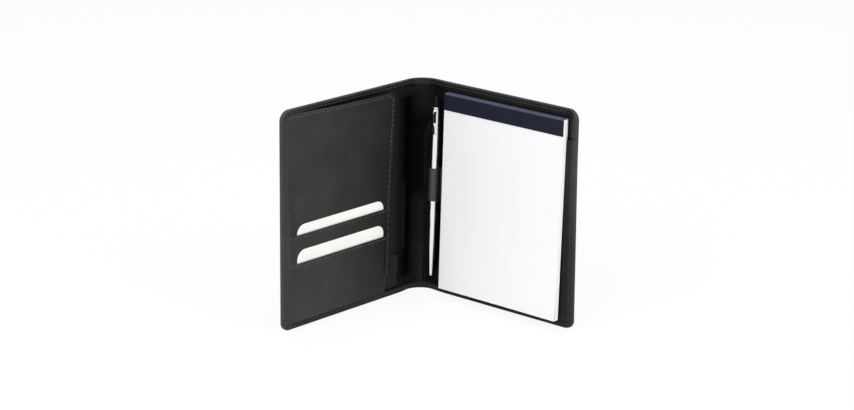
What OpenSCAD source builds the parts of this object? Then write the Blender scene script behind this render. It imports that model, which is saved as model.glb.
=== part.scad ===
// Leather writing case for an A6 pad, standing open on its lower edges.
// Two covers fold on a rounded spine. The left one has a document pocket with
// two card slots, the right one a pad pocket, the pad and a pen in its loop.
// On each cover u runs from the corner where the two outer faces would meet to
// the free edge, n from the outer face inwards, and z up from the lower edge.

/* [Case] */
// Angle between the two covers as the case stands
open_angle = 95; // [85:1:105]
// Outer radius of the rounded spine
spine_r = 17; // [16:0.5:19]
// Rounding of the covers' free corners
corner_r = 9.5; // [7:0.5:12]
// Thickness of the cover leather
leather_t = 1.0; // [0.8:0.1:1.3]
// Thickness of the stiffener boards
board_t = 0.8; // [0.6:0.1:1.2]
// Thickness of the lining
lining_t = 0.4; // [0.3:0.1:0.6]
// Thickness of the leather turned over the edges
hem_t = 0.8; // [0.6:0.1:1.0]
// Width of the turned-over edge
hem_w = 5; // [4:0.5:6]
// Distance from the fold to the stiffener board
board_start = 4; // [3:0.5:8]
// Length of pocket leather that laps over the spine
spine_lap = 7; // [5:0.5:10]

/* [Document pocket] */
// Thickness of the inner leather panels
panel_t = 0.7; // [0.5:0.1:0.9]
// Height of the cover left showing above the document pocket
pocket_drop = 3.8; // [3:0.2:6]
// How far the pocket's mouth stands open at its free corner
pocket_lift = 8.8; // [8:0.1:9.6]
// Part of that lift that is left at the sewn end of the mouth
sewn_lift = 0.25; // [0.24:0.01:0.5]
// Height at which the mouth starts to close towards its sewn end
twist_z = 112; // [110:1:130]
// Rounding of the pocket's free corner
pocket_corner_r = 6; // [3:0.5:9]
// Space beside each end of a card in its slot
card_side = 0.8; // [0.5:0.1:3]
// Run in which the leather rises from its seam to clear the cards
seam_run = 4.2; // [3:0.1:4.2]
// Width of the sewn strip along the pocket's free edge
sewn_strip = 2; // [1.5:0.1:3]
// Length of the woven label
label_h = 24.5; // [12:0.5:30]
// Height of the label's lower edge above the hem
label_z = 1; // [1:0.5:10]
// Width of the woven label that shows
label_w = 12; // [6:0.5:13]
// Thickness of the woven label
label_t = 0.3; // [0.2:0.05:0.35]

/* [Cards] */
// Width of a card
card_w = 85; // [70:0.5:90]
// Height of a card
card_h = 54; // [50:0.5:56]
// Thickness of a card
card_t = 0.35; // [0.25:0.05:0.5]
// Rounding of a card's corners
card_r = 7; // [2:0.5:9]
// Height of the upper slot
upper_slot_z = 70.8; // [68:0.2:74]
// Height of the lower slot
lower_slot_z = 50; // [46:0.2:52]
// How far the upper card shows above its slot
upper_card_shows = 7.4; // [5:0.2:10]
// Clear space on each side of a card
card_clear = 0.1; // [0.08:0.01:0.15]

/* [Pad] */
// Width of the pad
pad_w = 105; // [98:0.5:112]
// Height of the pad
pad_h = 148; // [140:0.5:156]
// Thickness of the sheets together
sheets_t = 4; // [2:0.1:6]
// Thickness of the turning sheet
page_t = 0.2; // [0.1:0.05:0.4]
// Thickness of the backing card
backing_t = 0.5; // [0.4:0.05:0.8]
// How far the sheets lean out towards their lower edge, in degrees
pad_lean = 1.5; // [0:0.1:2.5]
// Height of the binding strip on the front
strip_w = 12; // [8:0.5:20]
// Thickness of the binding strip
strip_t = 0.3; // [0.2:0.05:0.5]
// Cover showing above the pad
pad_drop = 7; // [5.5:0.5:10]
// Height of the backing card that shows above the pad pocket
pad_shows = 15; // [13:0.5:40]
// Rounding of the pad pocket's inner corner
pad_pocket_r = 6; // [3:0.5:9]

/* [Pen] */
// Diameter of the pen's barrel
pen_d = 7; // [6.6:0.1:7.4]
// Length of the pen without its plunger
pen_l = 129; // [124:0.5:134]
// Length of the tapered nose
nose_l = 22.7; // [20:0.1:26]
// Diameter at the writing end
nose_d = 2.2; // [2.2:0.1:2.6]
// Diameter at the upper end of the barrel
top_d = 5.4; // [5.2:0.1:6]
// Diameter of the plunger
plunger_d = 4; // [3.6:0.1:4]
// Length of the plunger that shows
plunger_l = 7.5; // [6:0.1:9]
// Diameter of the refill
refill_d = 3; // [2.8:0.1:3.1]
// Length of the clip
clip_l = 20; // [16:0.5:30]
// Width of the clip
clip_w = 2.4; // [1.8:0.1:3]
// Travel of the plunger
click = 4; // [3:0.5:4]
// Number of turns of the refill's spring
spring_turns = 9; // [6:1:11]

/* [Pen loop] */
// Thickness of the loop's leather
loop_t = 0.8; // [0.6:0.1:1]
// Height of the loop
loop_h = 26; // [18:0.5:32]
// Height of the loop's middle
loop_z = 84; // [78:0.5:90]
// Length of the loop's sewn tail
loop_tail = 8.3; // [7:0.1:12]
// Distance of the pen's axis from the fold
pen_from_fold = 3.2; // [3:0.1:5]
// Lean of the pen in its loop, in degrees
pen_lean = 1.2; // [0:0.1:2]
// Height of the writing end below the loop's middle
pen_below = 70.7; // [66:0.1:74]

/* [Hidden] */
$fn = 96;

// Colours
black_leather = [0.17, 0.17, 0.17];
inner_leather = [0.21, 0.21, 0.21];
black_cloth = [0.10, 0.10, 0.10];
grey_board = [0.62, 0.61, 0.59];
white_paper = [0.95, 0.95, 0.97];
navy_tape = [0.14, 0.16, 0.24];
chrome = [0.86, 0.86, 0.88];
black_plastic = [0.07, 0.07, 0.08];
brass = [0.80, 0.66, 0.36];

// Small gaps
layer_gap = 0.05;
edge_gap = 0.1;
fold_gap = 0.3;
hinge_gap = 0.15;
run_gap = 0.05;
slip_gap = 0.15;
hem_gap = 0.2;
// Height in which leather sewn flat rises to its full depth
rise_h = 0.5;
// Cuts reach this far past what they cut
past = 1;

// Fold lines and layers
half = open_angle / 2;
fold_u = spine_r / tan(half);
hinge_n = leather_t / 2;
seat_n = leather_t + board_t + lining_t;
tuck_n = seat_n + layer_gap;
hem_n = tuck_n + panel_t + layer_gap;
edge_t = hem_n + hem_t;
spine_hem_n = leather_t + lining_t + layer_gap;
spine_edge_t = spine_hem_n + hem_t;
// Clear distance from the fold at which layers up to n don't meet as the case closes
function setback(n) = (n - hinge_n) * tan(half / 2) + fold_gap;
inner_u = fold_u + setback(edge_t);
spine_back = setback(spine_edge_t) / spine_r * 180 / PI;

// Pen, loop, pad and cover follow one another along the right cover
pen_u = fold_u + pen_from_fold;
loop_r = pen_d / 2 + edge_gap + loop_t;
margin_n = tuck_n + panel_t;
pen_n = margin_n + layer_gap + loop_r;
margin_u = pen_u + loop_tail + loop_h / 2 * sin(pen_lean) + hem_gap;
rise_run = 0.9;
rise_gap = 0.3;
flat_run = 0.8;
pad_u = margin_u + rise_run + rise_gap;
cover_w = pad_u + pad_w + rise_gap + rise_run + flat_run + hem_w;
hem_u = cover_w - hem_w;
tuck_in = leather_t + edge_gap;
tuck_r = corner_r - tuck_in;

// Heights
foot_gap = 1;
pad_z = hem_w + foot_gap;
pad_top = pad_z + pad_h;
pad_pocket_z = pad_top - pad_shows;
case_h = pad_top + pad_drop;
panel_top = case_h - pocket_drop;
under_hem_z = case_h - hem_w - hem_gap;

// Pad
backing_n = edge_t + edge_gap;
backing_front = backing_n + backing_t;
pocket_n = backing_front + edge_gap;
sheets_n = max(
    backing_front + edge_gap,
    pocket_n + panel_t + edge_gap - pad_shows * tan(pad_lean)
);
// A point of the leaning sheets: y from their back, z down from their upper edge
function pad_point(y, z) = [
    sheets_n + y * cos(pad_lean) - z * sin(pad_lean),
    pad_top + y * sin(pad_lean) + z * cos(pad_lean)
];

// Document pocket and its cards
seam_u = hem_u - seam_run;
card_u = seam_u - card_side - card_w;
open_u = card_u - card_side;
strip_u = open_u - seam_run;
panel_u = strip_u - sewn_strip;
pocket_h = panel_top - hem_w;
slot_gap = card_t + 2 * card_clear;
step = panel_t + layer_gap;
backing_cloth_t = lining_t;
panel_off = backing_cloth_t + layer_gap;
upper_card_off = panel_off + panel_t + card_clear;
band_off = panel_off + panel_t + slot_gap;
lower_card_off = band_off + panel_t + card_clear;
lower_off = band_off + panel_t + slot_gap;
upper_card_z = upper_slot_z + upper_card_shows - card_h;
card_foot_gap = 0.7;
lower_card_z = hem_w + card_foot_gap;
// The band is sewn to the panel in a strip just below the upper card
seam_h = 5;
seam_lip = 4;
seam_z = upper_card_z - foot_gap;
seam_low = seam_z - seam_h;
pocket_slope = atan(pocket_lift / pocket_h);

// Frame: the origin is under the middle of the case's box
front_reach = max(
    cover_w * cos(half) + edge_t * sin(half),
    (pad_u + pad_w) * cos(half) + pad_point(sheets_t, -pad_h)[0] * sin(half)
);
back_reach = spine_r / sin(half) - spine_r;
corner_y = (front_reach + back_reach) / 2;
spine_y = corner_y - spine_r / sin(half);

function clamp01(x) = min(1, max(0, x));
function ramp(x, from, to) = clamp01((x - from) / (to - from));

// Placing
module on_left() {
    translate([0, corner_y, 0]) rotate([0, 0, 180 + 90 - half]) children();
}
module on_right() {
    mirror([1, 0, 0]) on_left() children();
}
// A flat layer, drawn in u and z, from n inwards
module layer(n, t) {
    translate([0, n + t, 0]) rotate([90, 0, 0]) linear_extrude(t) children();
}
// A ring of the spine between two depths and two heights, drawn back from both folds
module spine_ring(n0, n1, z0, z1, back) {
    translate([0, spine_y, z0]) rotate([0, 0, half + back])
        rotate_extrude(angle = 180 - open_angle - 2 * back)
            translate([spine_r - n1, 0]) square([n1 - n0, z1 - z0]);
}

// The cover's outline in u and z, drawn in from its edges, from a start near the fold
module cover_outline(inset, start) {
    r = corner_r - inset;
    top = case_h - inset;
    side = cover_w - inset;
    translate([start, inset]) square([side - r - start, top - inset]);
    translate([side - r, inset + r]) square([r, top - inset - 2 * r]);
    for (z = [inset + r, top - r]) translate([side - r, z]) circle(r);
}
module rim_outline(inset) {
    difference() {
        cover_outline(0, inner_u);
        cover_outline(inset, inner_u - past);
    }
}
// Outer leather of a cover: skin, wrapped edge and turned-in hem
module cover_leather() {
    difference() {
        layer(0, leather_t) cover_outline(0, fold_u);
        translate([fold_u, hinge_n, -past])
            cylinder(r = hinge_n + hinge_gap, h = case_h + 2 * past);
    }
    layer(leather_t, hem_n - leather_t) rim_outline(leather_t);
    layer(hem_n, hem_t) rim_outline(hem_w);
}
module cover_board() {
    layer(leather_t, board_t) cover_outline(tuck_in, fold_u + board_start);
}
module cover_lining() {
    layer(leather_t + board_t, lining_t) cover_outline(tuck_in, inner_u);
}

// A thin closed sheet between two depth functions of u and z. Each row runs from
// its left end through the columns to its right end, and columns past a short
// row's left end draw together just inside it.
module sheet(rows, columns, left, right, back, front) {
    nu = len(columns) + 2;
    nz = len(rows);
    inside = function(z, k) min(columns[k], left(z) - hem_gap * (k + 1));
    line = function(z) concat([left(z)], [for (k = [0:nu - 3]) inside(z, k)], [right(z)]);
    flat = [for (z = rows) for (u = line(z)) [u, z]];
    points = concat(
        [for (p = flat) [p[0], back(p[0], p[1]), p[1]]],
        [for (p = flat) [p[0], front(p[0], p[1]), p[1]]]
    );
    b = function(i, j) j * nu + i;
    f = function(i, j) nu * nz + j * nu + i;
    quads = concat(
        [for (j = [0:nz - 2]) for (i = [0:nu - 2]) [b(i + 1, j), b(i + 1, j + 1), b(i, j + 1), b(i, j)]],
        [for (j = [0:nz - 2]) for (i = [0:nu - 2]) [f(i, j + 1), f(i + 1, j + 1), f(i + 1, j), f(i, j)]],
        [for (i = [0:nu - 2]) [b(i + 1, 0), b(i, 0), f(i, 0), f(i + 1, 0)]],
        [for (i = [0:nu - 2]) [b(i, nz - 1), b(i + 1, nz - 1), f(i + 1, nz - 1), f(i, nz - 1)]],
        [for (j = [0:nz - 2]) [b(0, j), b(0, j + 1), f(0, j + 1), f(0, j)]],
        [for (j = [0:nz - 2]) [b(nu - 1, j + 1), b(nu - 1, j), f(nu - 1, j), f(nu - 1, j + 1)]]
    );
    polyhedron(points, [for (q = quads) each [[q[0], q[1], q[2]], [q[0], q[2], q[3]]]]);
}

// Free edge of a sheet that is tucked under the hem, following the rounded corners
function tuck_edge(z) =
    let (over = max(tuck_in + tuck_r - z, z - (case_h - tuck_in - tuck_r), 0))
    cover_w - tuck_in - tuck_r + sqrt(max(tuck_r * tuck_r - over * over, 0));
// Depth of the document pocket's back: flat at its seams, lifted at its free corner
function pocket_back(u, z) =
    let (
        across = clamp01((hem_u - u) / (hem_u - panel_u)),
        up = clamp01((z - hem_w) / pocket_h),
        close = (1 - sewn_lift) * ramp(z, twist_z, panel_top)
    )
    tuck_n + ramp(u, hem_u, seam_u) * pocket_lift * up * (1 - close * (1 - across));
// Depth of a layer on that back: sewn down at both ends, apart where the card lies
function pocket_layer(u, z, sewn, apart) =
    pocket_back(u, z) + ramp(u, hem_u, seam_u) * (sewn + (apart - sewn) * ramp(u, strip_u, open_u));
function arc_rows(top, r) = [for (a = [0:15:90]) top - r + r * sin(a)];
function corner_in(z, top, r) =
    let (over = max(z - (top - r), 0)) r - sqrt(max(r * r - over * over, 0));
inner_columns = [for (part = [0.25, 0.5, 0.75]) seam_u - part * card_w];
// A column clear of the pocket's rounded free corner
corner_column = max(open_u, panel_u + pocket_corner_r + past) + past;
// Rows round the cover's lower corner, as far up as the hem
corner_rows = [for (a = [0:15:75]) tuck_in + tuck_r - tuck_r * cos(a)];
tuck_rows = concat(
    [for (z = corner_rows) if (z < hem_w - rise_h) z],
    [hem_w, hem_w + rise_h, tuck_in + tuck_r]
);

// Spine
module spine_leather() {
    color(black_leather) {
        spine_ring(0, leather_t, 0, case_h, 0);
        for (z = [0, case_h - leather_t]) {
            spine_ring(hinge_n, spine_edge_t, z, z + leather_t, spine_back);
        }
        for (z = [0, case_h - hem_w]) spine_ring(spine_hem_n, spine_edge_t, z, z + hem_w, spine_back);
    }
}
module spine_lining() {
    color(black_cloth)
        spine_ring(leather_t, leather_t + lining_t, tuck_in, case_h - tuck_in, spine_back);
}
module pocket_edge_strip() {
    lap = spine_lap / spine_r * 180 / PI;
    foot = hem_w + edge_gap;
    short = 2;
    color(inner_leather) translate([0, spine_y, foot]) rotate([0, 0, half + spine_back])
        rotate_extrude(angle = lap)
            translate([spine_r - spine_hem_n - panel_t, 0]) square([panel_t, pad_pocket_z - short - foot]);
}

// Left cover
module left_cover_leather() { color(black_leather) on_left() cover_leather(); }
module left_board() { color(grey_board) on_left() cover_board(); }
module left_lining() { color(black_cloth) on_left() cover_lining(); }
module pocket_backing() {
    foot = hem_w + rise_h;
    top = panel_top - past;
    flat_rows = [for (k = [0:3]) foot + (twist_z - foot) * k / 3];
    twisted_rows = [for (k = [1:4]) twist_z + (top - pocket_corner_r - twist_z) * k / 5];
    color(black_cloth) on_left() sheet(
        concat(flat_rows, twisted_rows, arc_rows(top, pocket_corner_r)),
        concat(inner_columns, [corner_column]),
        function(z) seam_u - edge_gap,
        function(z) panel_u + past + corner_in(z, top, pocket_corner_r),
        function(u, z) pocket_back(u, z),
        function(u, z) pocket_back(u, z) + backing_cloth_t
    );
}
module document_pocket_panel() {
    slot = upper_slot_z + layer_gap;
    hidden = [seam_low, slot];
    upper = [for (k = [0:4]) slot + edge_gap + (twist_z - slot - edge_gap) * k / 4];
    twisted = [for (k = [1:4]) twist_z + (panel_top - pocket_corner_r - twist_z) * k / 5];
    corner = arc_rows(panel_top, pocket_corner_r);
    below = [for (z = corner) if (z < under_hem_z - 2 * slip_gap) z];
    above = [for (z = corner) if (z > under_hem_z + edge_gap) z];
    back = function(u, z) pocket_layer(u, z, panel_off, panel_off);
    // The sewn end stops below the cover's upper hem, and below the slot it lies behind the band
    color(inner_leather) on_left() sheet(
        concat(hidden, upper, twisted, below, [under_hem_z - slip_gap, under_hem_z], above),
        concat([hem_u, seam_u], inner_columns, [corner_column]),
        function(z) z > slot && z < under_hem_z ? tuck_edge(z) : seam_u - past,
        function(z) panel_u + corner_in(z, panel_top, pocket_corner_r),
        back,
        function(u, z) back(u, z) + panel_t
    );
}
module card_pocket_band() {
    sewn = panel_off + step;
    opens = function(z) ramp(z, seam_low + seam_lip, seam_z);
    slot = lower_slot_z + layer_gap;
    back = function(u, z) pocket_layer(u, z, sewn, sewn + (band_off - sewn) * opens(z));
    color(inner_leather) on_left() sheet(
        [seam_low, seam_low + seam_lip, seam_z, slot, slot + edge_gap, upper_slot_z],
        concat([hem_u, seam_u], inner_columns, [open_u, strip_u]),
        function(z) z > slot ? tuck_edge(z) : seam_u - past,
        function(z) panel_u,
        back,
        function(u, z) back(u, z) + panel_t
    );
}
module card_pocket_lower() {
    // Sewn over the band where there is one, and over the backing alone below it
    climb = [seam_low - 2 * past, seam_low - rise_h];
    rises = function(z) ramp(z, hem_w, hem_w + rise_h);
    sewn = function(z) (panel_off + 2 * step * ramp(z, climb[0], climb[1])) * rises(z);
    back = function(u, z) pocket_layer(u, z, sewn(z), max(sewn(z), lower_off * rises(z)));
    color(inner_leather) on_left() sheet(
        concat(tuck_rows, climb, [lower_slot_z]),
        concat([hem_u, seam_u], inner_columns, [open_u, strip_u]),
        function(z) tuck_edge(z),
        function(z) panel_u,
        back,
        function(u, z) back(u, z) + panel_t
    );
}
module label_tab() {
    sewn_in = past - edge_gap;
    color(black_cloth) on_left()
        translate([panel_u - label_w, tuck_n, hem_w + label_z]) cube([label_w + sewn_in, label_t, label_h]);
}

// Cards, flat on the pocket's slope
module card(z, off) {
    color(white_paper) on_left()
        translate([card_u, tuck_n, hem_w]) rotate([-pocket_slope, 0, 0])
            translate([0, off * cos(pocket_slope), (z - hem_w) / cos(pocket_slope)])
                layer(0, card_t) {
                    square([card_w, card_h - card_r]);
                    translate([card_r, 0]) square([card_w - 2 * card_r, card_h]);
                    for (u = [card_r, card_w - card_r]) translate([u, card_h - card_r]) circle(card_r);
                }
}
module upper_card() { card(upper_card_z, upper_card_off); }
module lower_card() { card(lower_card_z, lower_card_off); }

// Right cover
module right_cover_leather() { color(black_leather) on_right() cover_leather(); }
module right_board() { color(grey_board) on_right() cover_board(); }
module right_lining() { color(black_cloth) on_right() cover_lining(); }
module pad_pocket_panel() {
    start = fold_u + setback(tuck_n + panel_t);
    rise_u = [margin_u, margin_u + rise_run];
    fall_u = [hem_u - hem_gap, hem_u - hem_gap - rise_run];
    lift = function(u) min(ramp(u, rise_u[0], rise_u[1]), ramp(u, fall_u[0], fall_u[1]));
    back = function(u, z) tuck_n + (pocket_n - tuck_n) * lift(u) * ramp(z, hem_w, hem_w + rise_h);
    color(inner_leather) on_right() sheet(
        concat(tuck_rows, [loop_z], arc_rows(pad_pocket_z, pad_pocket_r)),
        [hem_u, fall_u[0], fall_u[1], rise_u[1], rise_u[0], start + pad_pocket_r + rise_h],
        function(z) tuck_edge(z),
        function(z) start + corner_in(z, pad_pocket_z, pad_pocket_r),
        back,
        function(u, z) back(u, z) + panel_t
    );
}

// Along the pen's axis, from its writing end
module on_pen() {
    on_right() translate([pen_u, pen_n, loop_z]) rotate([0, pen_lean, 0]) children();
}
module from_nose() {
    on_pen() translate([0, 0, -pen_below]) children();
}
module pen_loop() {
    color(inner_leather) on_pen() translate([0, 0, -loop_h / 2]) {
        difference() {
            union() {
                cylinder(r = loop_r, h = loop_h);
                translate([0, -loop_r, 0]) cube([loop_tail, loop_t, loop_h]);
            }
            translate([0, 0, -past]) cylinder(r = loop_r - loop_t, h = loop_h + 2 * past);
        }
    }
}

// Pad
module on_sheets() {
    on_right() translate([pad_u, sheets_n, pad_top]) rotate([pad_lean, 0, 0]) children();
}
// An outline in n and z, drawn across the pad
module across_pad() {
    on_right() translate([pad_u, 0, 0]) rotate([90, 0, 90]) linear_extrude(pad_w) children();
}
module pad_backing_card() {
    color(grey_board) on_right() translate([pad_u, backing_n, pad_z]) cube([pad_w, backing_t, pad_h]);
}
module pad_glue() {
    color(white_paper) across_pad() polygon([
        [backing_front, pad_top - strip_w], [backing_front, pad_top],
        [sheets_n, pad_top], [sheets_n + strip_w * tan(pad_lean), pad_top - strip_w]
    ]);
}
module pad_sheets() {
    under_page = page_t + run_gap;
    color(white_paper) on_sheets() difference() {
        translate([0, 0, -pad_h]) cube([pad_w, sheets_t, pad_h]);
        translate([-past, sheets_t - under_page, -pad_h - past])
            cube([pad_w + 2 * past, under_page + past, pad_h - strip_w + past]);
    }
}
module pad_binding_strip() {
    top_inner = pad_point(sheets_t, 0)[1];
    top_outer = pad_point(sheets_t + strip_t, strip_t)[1];
    color(navy_tape) across_pad() polygon([
        pad_point(sheets_t + strip_t, -strip_w), pad_point(sheets_t + strip_t, strip_t),
        [backing_n, top_outer], [backing_n, top_inner],
        pad_point(sheets_t, 0), pad_point(sheets_t, -strip_w)
    ]);
}
module pad_top_sheet() {
    l = pad_h - strip_w - edge_gap;
    color(white_paper) on_sheets()
        translate([0, sheets_t - page_t, -pad_h]) cube([pad_w, page_t, l]);
}

// Pen: radii and heights from the writing end
pen_r = pen_d / 2;
barrel_wall = 0.62;
bore_r = pen_r - 2 * barrel_wall;
nose_bore_r = 0.65;
nose_bore_l = 3;
nose_step = 0.2;
nose_blend = 7;
refill_r = refill_d / 2;
point_z = 15;
point_r = nose_bore_r - 0.12;
tip_r = 0.4;
tip_z = 1.2;
spring_z = 20;
spring_h = 14;
wire_r = 0.2;
joint_z = 70.5;
sleeve_l = 8.5;
taper_z = 100;
plunger_r = plunger_d / 2;
foot_z = 110;
foot_h = 4;
ring_h = 0.8;
ring_r = top_d / 2 + 0.3;
tube_h = 6;
tube_floor = 2;
collar_h = 1.2;
clip_angle = 63;
clip_t = 0.7;
clip_lift = 1.3;
clip_r = pen_r + clip_lift;
bead_r = 1.1;

module pen_lower_barrel() {
    color(chrome) from_nose() rotate_extrude() polygon([
        [nose_bore_r, 0], [nose_d / 2, 0], [pen_r - nose_step, nose_l], [pen_r, nose_l + nose_blend],
        [pen_r, joint_z], [pen_r - barrel_wall, joint_z], [pen_r - barrel_wall, joint_z - sleeve_l],
        [bore_r, joint_z - sleeve_l], [bore_r, spring_z], [refill_r + slip_gap, spring_z],
        [refill_r + slip_gap, point_z], [nose_bore_r, nose_bore_l]
    ]);
}
module pen_upper_barrel() {
    top = pen_l - ring_h;
    shoulder_z = foot_z + foot_h + run_gap;
    color(chrome) from_nose() rotate_extrude() polygon([
        [pen_r - barrel_wall, joint_z], [pen_r, joint_z], [pen_r, taper_z], [top_d / 2, top],
        [plunger_r + run_gap, top], [plunger_r + run_gap, shoulder_z],
        [bore_r, shoulder_z], [bore_r, joint_z + sleeve_l], [pen_r - barrel_wall, joint_z + sleeve_l]
    ]);
}
module pen_joining_sleeve() {
    color(brass) from_nose() translate([0, 0, joint_z - sleeve_l]) difference() {
        cylinder(r = pen_r - barrel_wall - run_gap, h = 2 * sleeve_l);
        translate([0, 0, -past]) cylinder(r = bore_r, h = 2 * sleeve_l + 2 * past);
    }
}
module pen_top_ring() {
    color(chrome) from_nose() translate([0, 0, pen_l - ring_h]) difference() {
        cylinder(r = ring_r, h = ring_h);
        translate([0, 0, -past]) cylinder(r = plunger_r + run_gap, h = ring_h + 2 * past);
    }
}
// The clip grows from the ring and runs down beside the barrel
module pen_clip() {
    color(chrome) from_nose() rotate([0, 0, clip_angle]) {
        translate([ring_r, -clip_w / 2, pen_l - ring_h]) cube([clip_r + clip_t - ring_r, clip_w, ring_h]);
        translate([clip_r, -clip_w / 2, pen_l - clip_l]) cube([clip_t, clip_w, clip_l]);
    }
}
module pen_clip_bead() {
    color(black_plastic) from_nose() rotate([0, 0, clip_angle])
        translate([clip_r, 0, pen_l - clip_l + bead_r]) rotate([0, -90, 0])
            cylinder(r = bead_r, h = clip_lift - run_gap);
}
module pen_plunger() {
    color(black_plastic) from_nose() {
        translate([0, 0, foot_z]) cylinder(r = bore_r - run_gap, h = foot_h);
        translate([0, 0, foot_z + foot_h / 2])
            cylinder(r = plunger_r, h = pen_l + plunger_l - foot_z - foot_h / 2);
    }
}
module pen_thrust_tube() {
    color(black_plastic) from_nose() translate([0, 0, foot_z - tube_h]) difference() {
        cylinder(r = bore_r - run_gap, h = tube_h);
        translate([0, 0, -past]) cylinder(r = refill_r + run_gap, h = tube_h - tube_floor + past);
    }
}
module pen_refill() {
    foot = point_z + click;
    color(chrome) from_nose() {
        translate([0, 0, foot]) cylinder(r = refill_r, h = foot_z - tube_floor - foot);
        translate([0, 0, spring_z + spring_h]) cylinder(r = bore_r - run_gap, h = collar_h);
    }
}
module pen_refill_point() {
    color(brass) from_nose() rotate_extrude() polygon([
        [0, tip_z], [tip_r, tip_z], [point_r, nose_bore_l], [point_r, nose_bore_l + click],
        [refill_r - run_gap, point_z + click], [0, point_z + click]
    ]);
}
// A helix of round wire between the barrel's step and the refill's collar
module pen_spring() {
    mean_r = refill_r + (bore_r - refill_r) / 2;
    sides = 6;
    per_turn = 8;
    rings = spring_turns * per_turn + 1;
    rise = (spring_h - 2 * wire_r - 2 * run_gap) / (rings - 1);
    points = [for (k = [0:rings - 1]) for (s = [0:sides - 1])
        let (a = k * 360 / per_turn, b = s * 360 / sides, r = mean_r + wire_r * cos(b))
        [r * cos(a), r * sin(a), wire_r + run_gap + k * rise + wire_r * sin(b)]];
    walls = [for (k = [0:rings - 2]) for (s = [0:sides - 1])
        let (t = (s + 1) % sides, i = k * sides)
        each [[i + s, i + sides + s, i + sides + t], [i + s, i + sides + t, i + t]]];
    ends = concat(
        [for (s = [1:sides - 2]) [0, s, s + 1]],
        [for (s = [1:sides - 2]) let (i = (rings - 1) * sides) [i, i + s + 1, i + s]]
    );
    color(chrome) from_nose() translate([0, 0, spring_z]) polyhedron(points, concat(walls, ends));
}

spine_leather();
spine_lining();
pocket_edge_strip();
left_cover_leather();
left_board();
left_lining();
pocket_backing();
document_pocket_panel();
card_pocket_band();
card_pocket_lower();
label_tab();
upper_card();
lower_card();
right_cover_leather();
right_board();
right_lining();
pad_pocket_panel();
pen_loop();
pad_backing_card();
pad_glue();
pad_sheets();
pad_binding_strip();
pad_top_sheet();
pen_lower_barrel();
pen_upper_barrel();
pen_joining_sleeve();
pen_top_ring();
pen_clip();
pen_clip_bead();
pen_plunger();
pen_thrust_tube();
pen_refill();
pen_refill_point();
pen_spring();
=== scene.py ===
"""A leather notebook that stands open, with its document pocket, cards, writing pad and pen."""

import math

import bmesh
import bpy
import numpy as np
from mathutils import Matrix, Vector


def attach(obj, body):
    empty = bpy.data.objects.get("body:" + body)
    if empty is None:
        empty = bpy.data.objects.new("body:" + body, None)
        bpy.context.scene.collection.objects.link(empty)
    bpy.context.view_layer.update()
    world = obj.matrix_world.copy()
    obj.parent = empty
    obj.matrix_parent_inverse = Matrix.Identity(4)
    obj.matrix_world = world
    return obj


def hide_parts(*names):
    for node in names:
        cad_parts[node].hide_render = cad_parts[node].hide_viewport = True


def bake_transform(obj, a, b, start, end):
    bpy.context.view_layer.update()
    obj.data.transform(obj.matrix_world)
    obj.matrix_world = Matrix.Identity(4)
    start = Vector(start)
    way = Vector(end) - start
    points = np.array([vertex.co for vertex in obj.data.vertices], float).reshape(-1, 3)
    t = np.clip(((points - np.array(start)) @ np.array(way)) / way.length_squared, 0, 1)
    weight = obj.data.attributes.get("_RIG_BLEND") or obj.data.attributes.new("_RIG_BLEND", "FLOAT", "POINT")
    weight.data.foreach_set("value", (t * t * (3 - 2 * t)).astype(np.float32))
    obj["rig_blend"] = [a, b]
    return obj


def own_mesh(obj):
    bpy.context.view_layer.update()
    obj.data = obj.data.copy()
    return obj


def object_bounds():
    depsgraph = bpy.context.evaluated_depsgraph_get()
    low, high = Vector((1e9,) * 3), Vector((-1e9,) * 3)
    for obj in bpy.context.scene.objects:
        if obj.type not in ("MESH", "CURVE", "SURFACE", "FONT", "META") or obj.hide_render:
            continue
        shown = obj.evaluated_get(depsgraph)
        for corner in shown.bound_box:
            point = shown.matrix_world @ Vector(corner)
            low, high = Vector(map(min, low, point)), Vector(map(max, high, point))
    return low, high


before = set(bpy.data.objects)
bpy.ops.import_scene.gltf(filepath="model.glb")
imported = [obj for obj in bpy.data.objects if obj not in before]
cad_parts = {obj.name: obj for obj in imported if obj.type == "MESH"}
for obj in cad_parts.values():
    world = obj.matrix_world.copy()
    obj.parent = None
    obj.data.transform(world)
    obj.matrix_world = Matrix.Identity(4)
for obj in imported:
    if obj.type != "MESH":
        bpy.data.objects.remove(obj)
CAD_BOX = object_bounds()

bl_info = {
    "name": "Leather notebook",
    "version": (1, 0, 0),
    "blender": (4, 5, 0),
    "location": "3D View > Sidebar > Notebook",
    "description": "Dresses the packed leather notebook with its sewn, woven and plated pieces",
    "category": "Object",
}

MM = 0.001
LEFT = -1
RIGHT = 1
CREASE = math.radians(38)
SEED = 7
SIDES = ((LEFT, "left"), (RIGHT, "right"))
# Points nearer than this, in metres, are one, and a length under the second is none
DOUBLE = 1e-6
TINY = 1e-7
# Depth of the fold between a cover and the spine, and how far before and after it the case bends
FOLD_DEPTH = 0.5 * MM
FOLD_SOFT = (-1 * MM, 5 * MM)
# Scale at which a wave texture has one band each metre
ONE_BAND = 0.314


def linear(code):
    """An sRGB hex colour as linear red, green and blue."""
    values = [int(code[i : i + 2], 16) / 255 for i in (1, 3, 5)]
    return [v / 12.92 if v <= 0.04045 else ((v + 0.055) / 1.055) ** 2.4 for v in values]


def length(name, description, size):
    """A length that a user may change, given in millimetres and kept in metres."""
    return bpy.props.FloatProperty(
        name=name, description=description, default=size * MM, unit="LENGTH", precision=5
    )


def angle(name, description, degrees):
    """An angle that a user may change."""
    return bpy.props.FloatProperty(
        name=name, description=description, default=math.radians(degrees), subtype="ANGLE"
    )


def share(name, description, value):
    """A share from 0 to 1 that a user may change."""
    return bpy.props.FloatProperty(
        name=name, description=description, default=value, min=0, max=1, subtype="FACTOR"
    )


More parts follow.
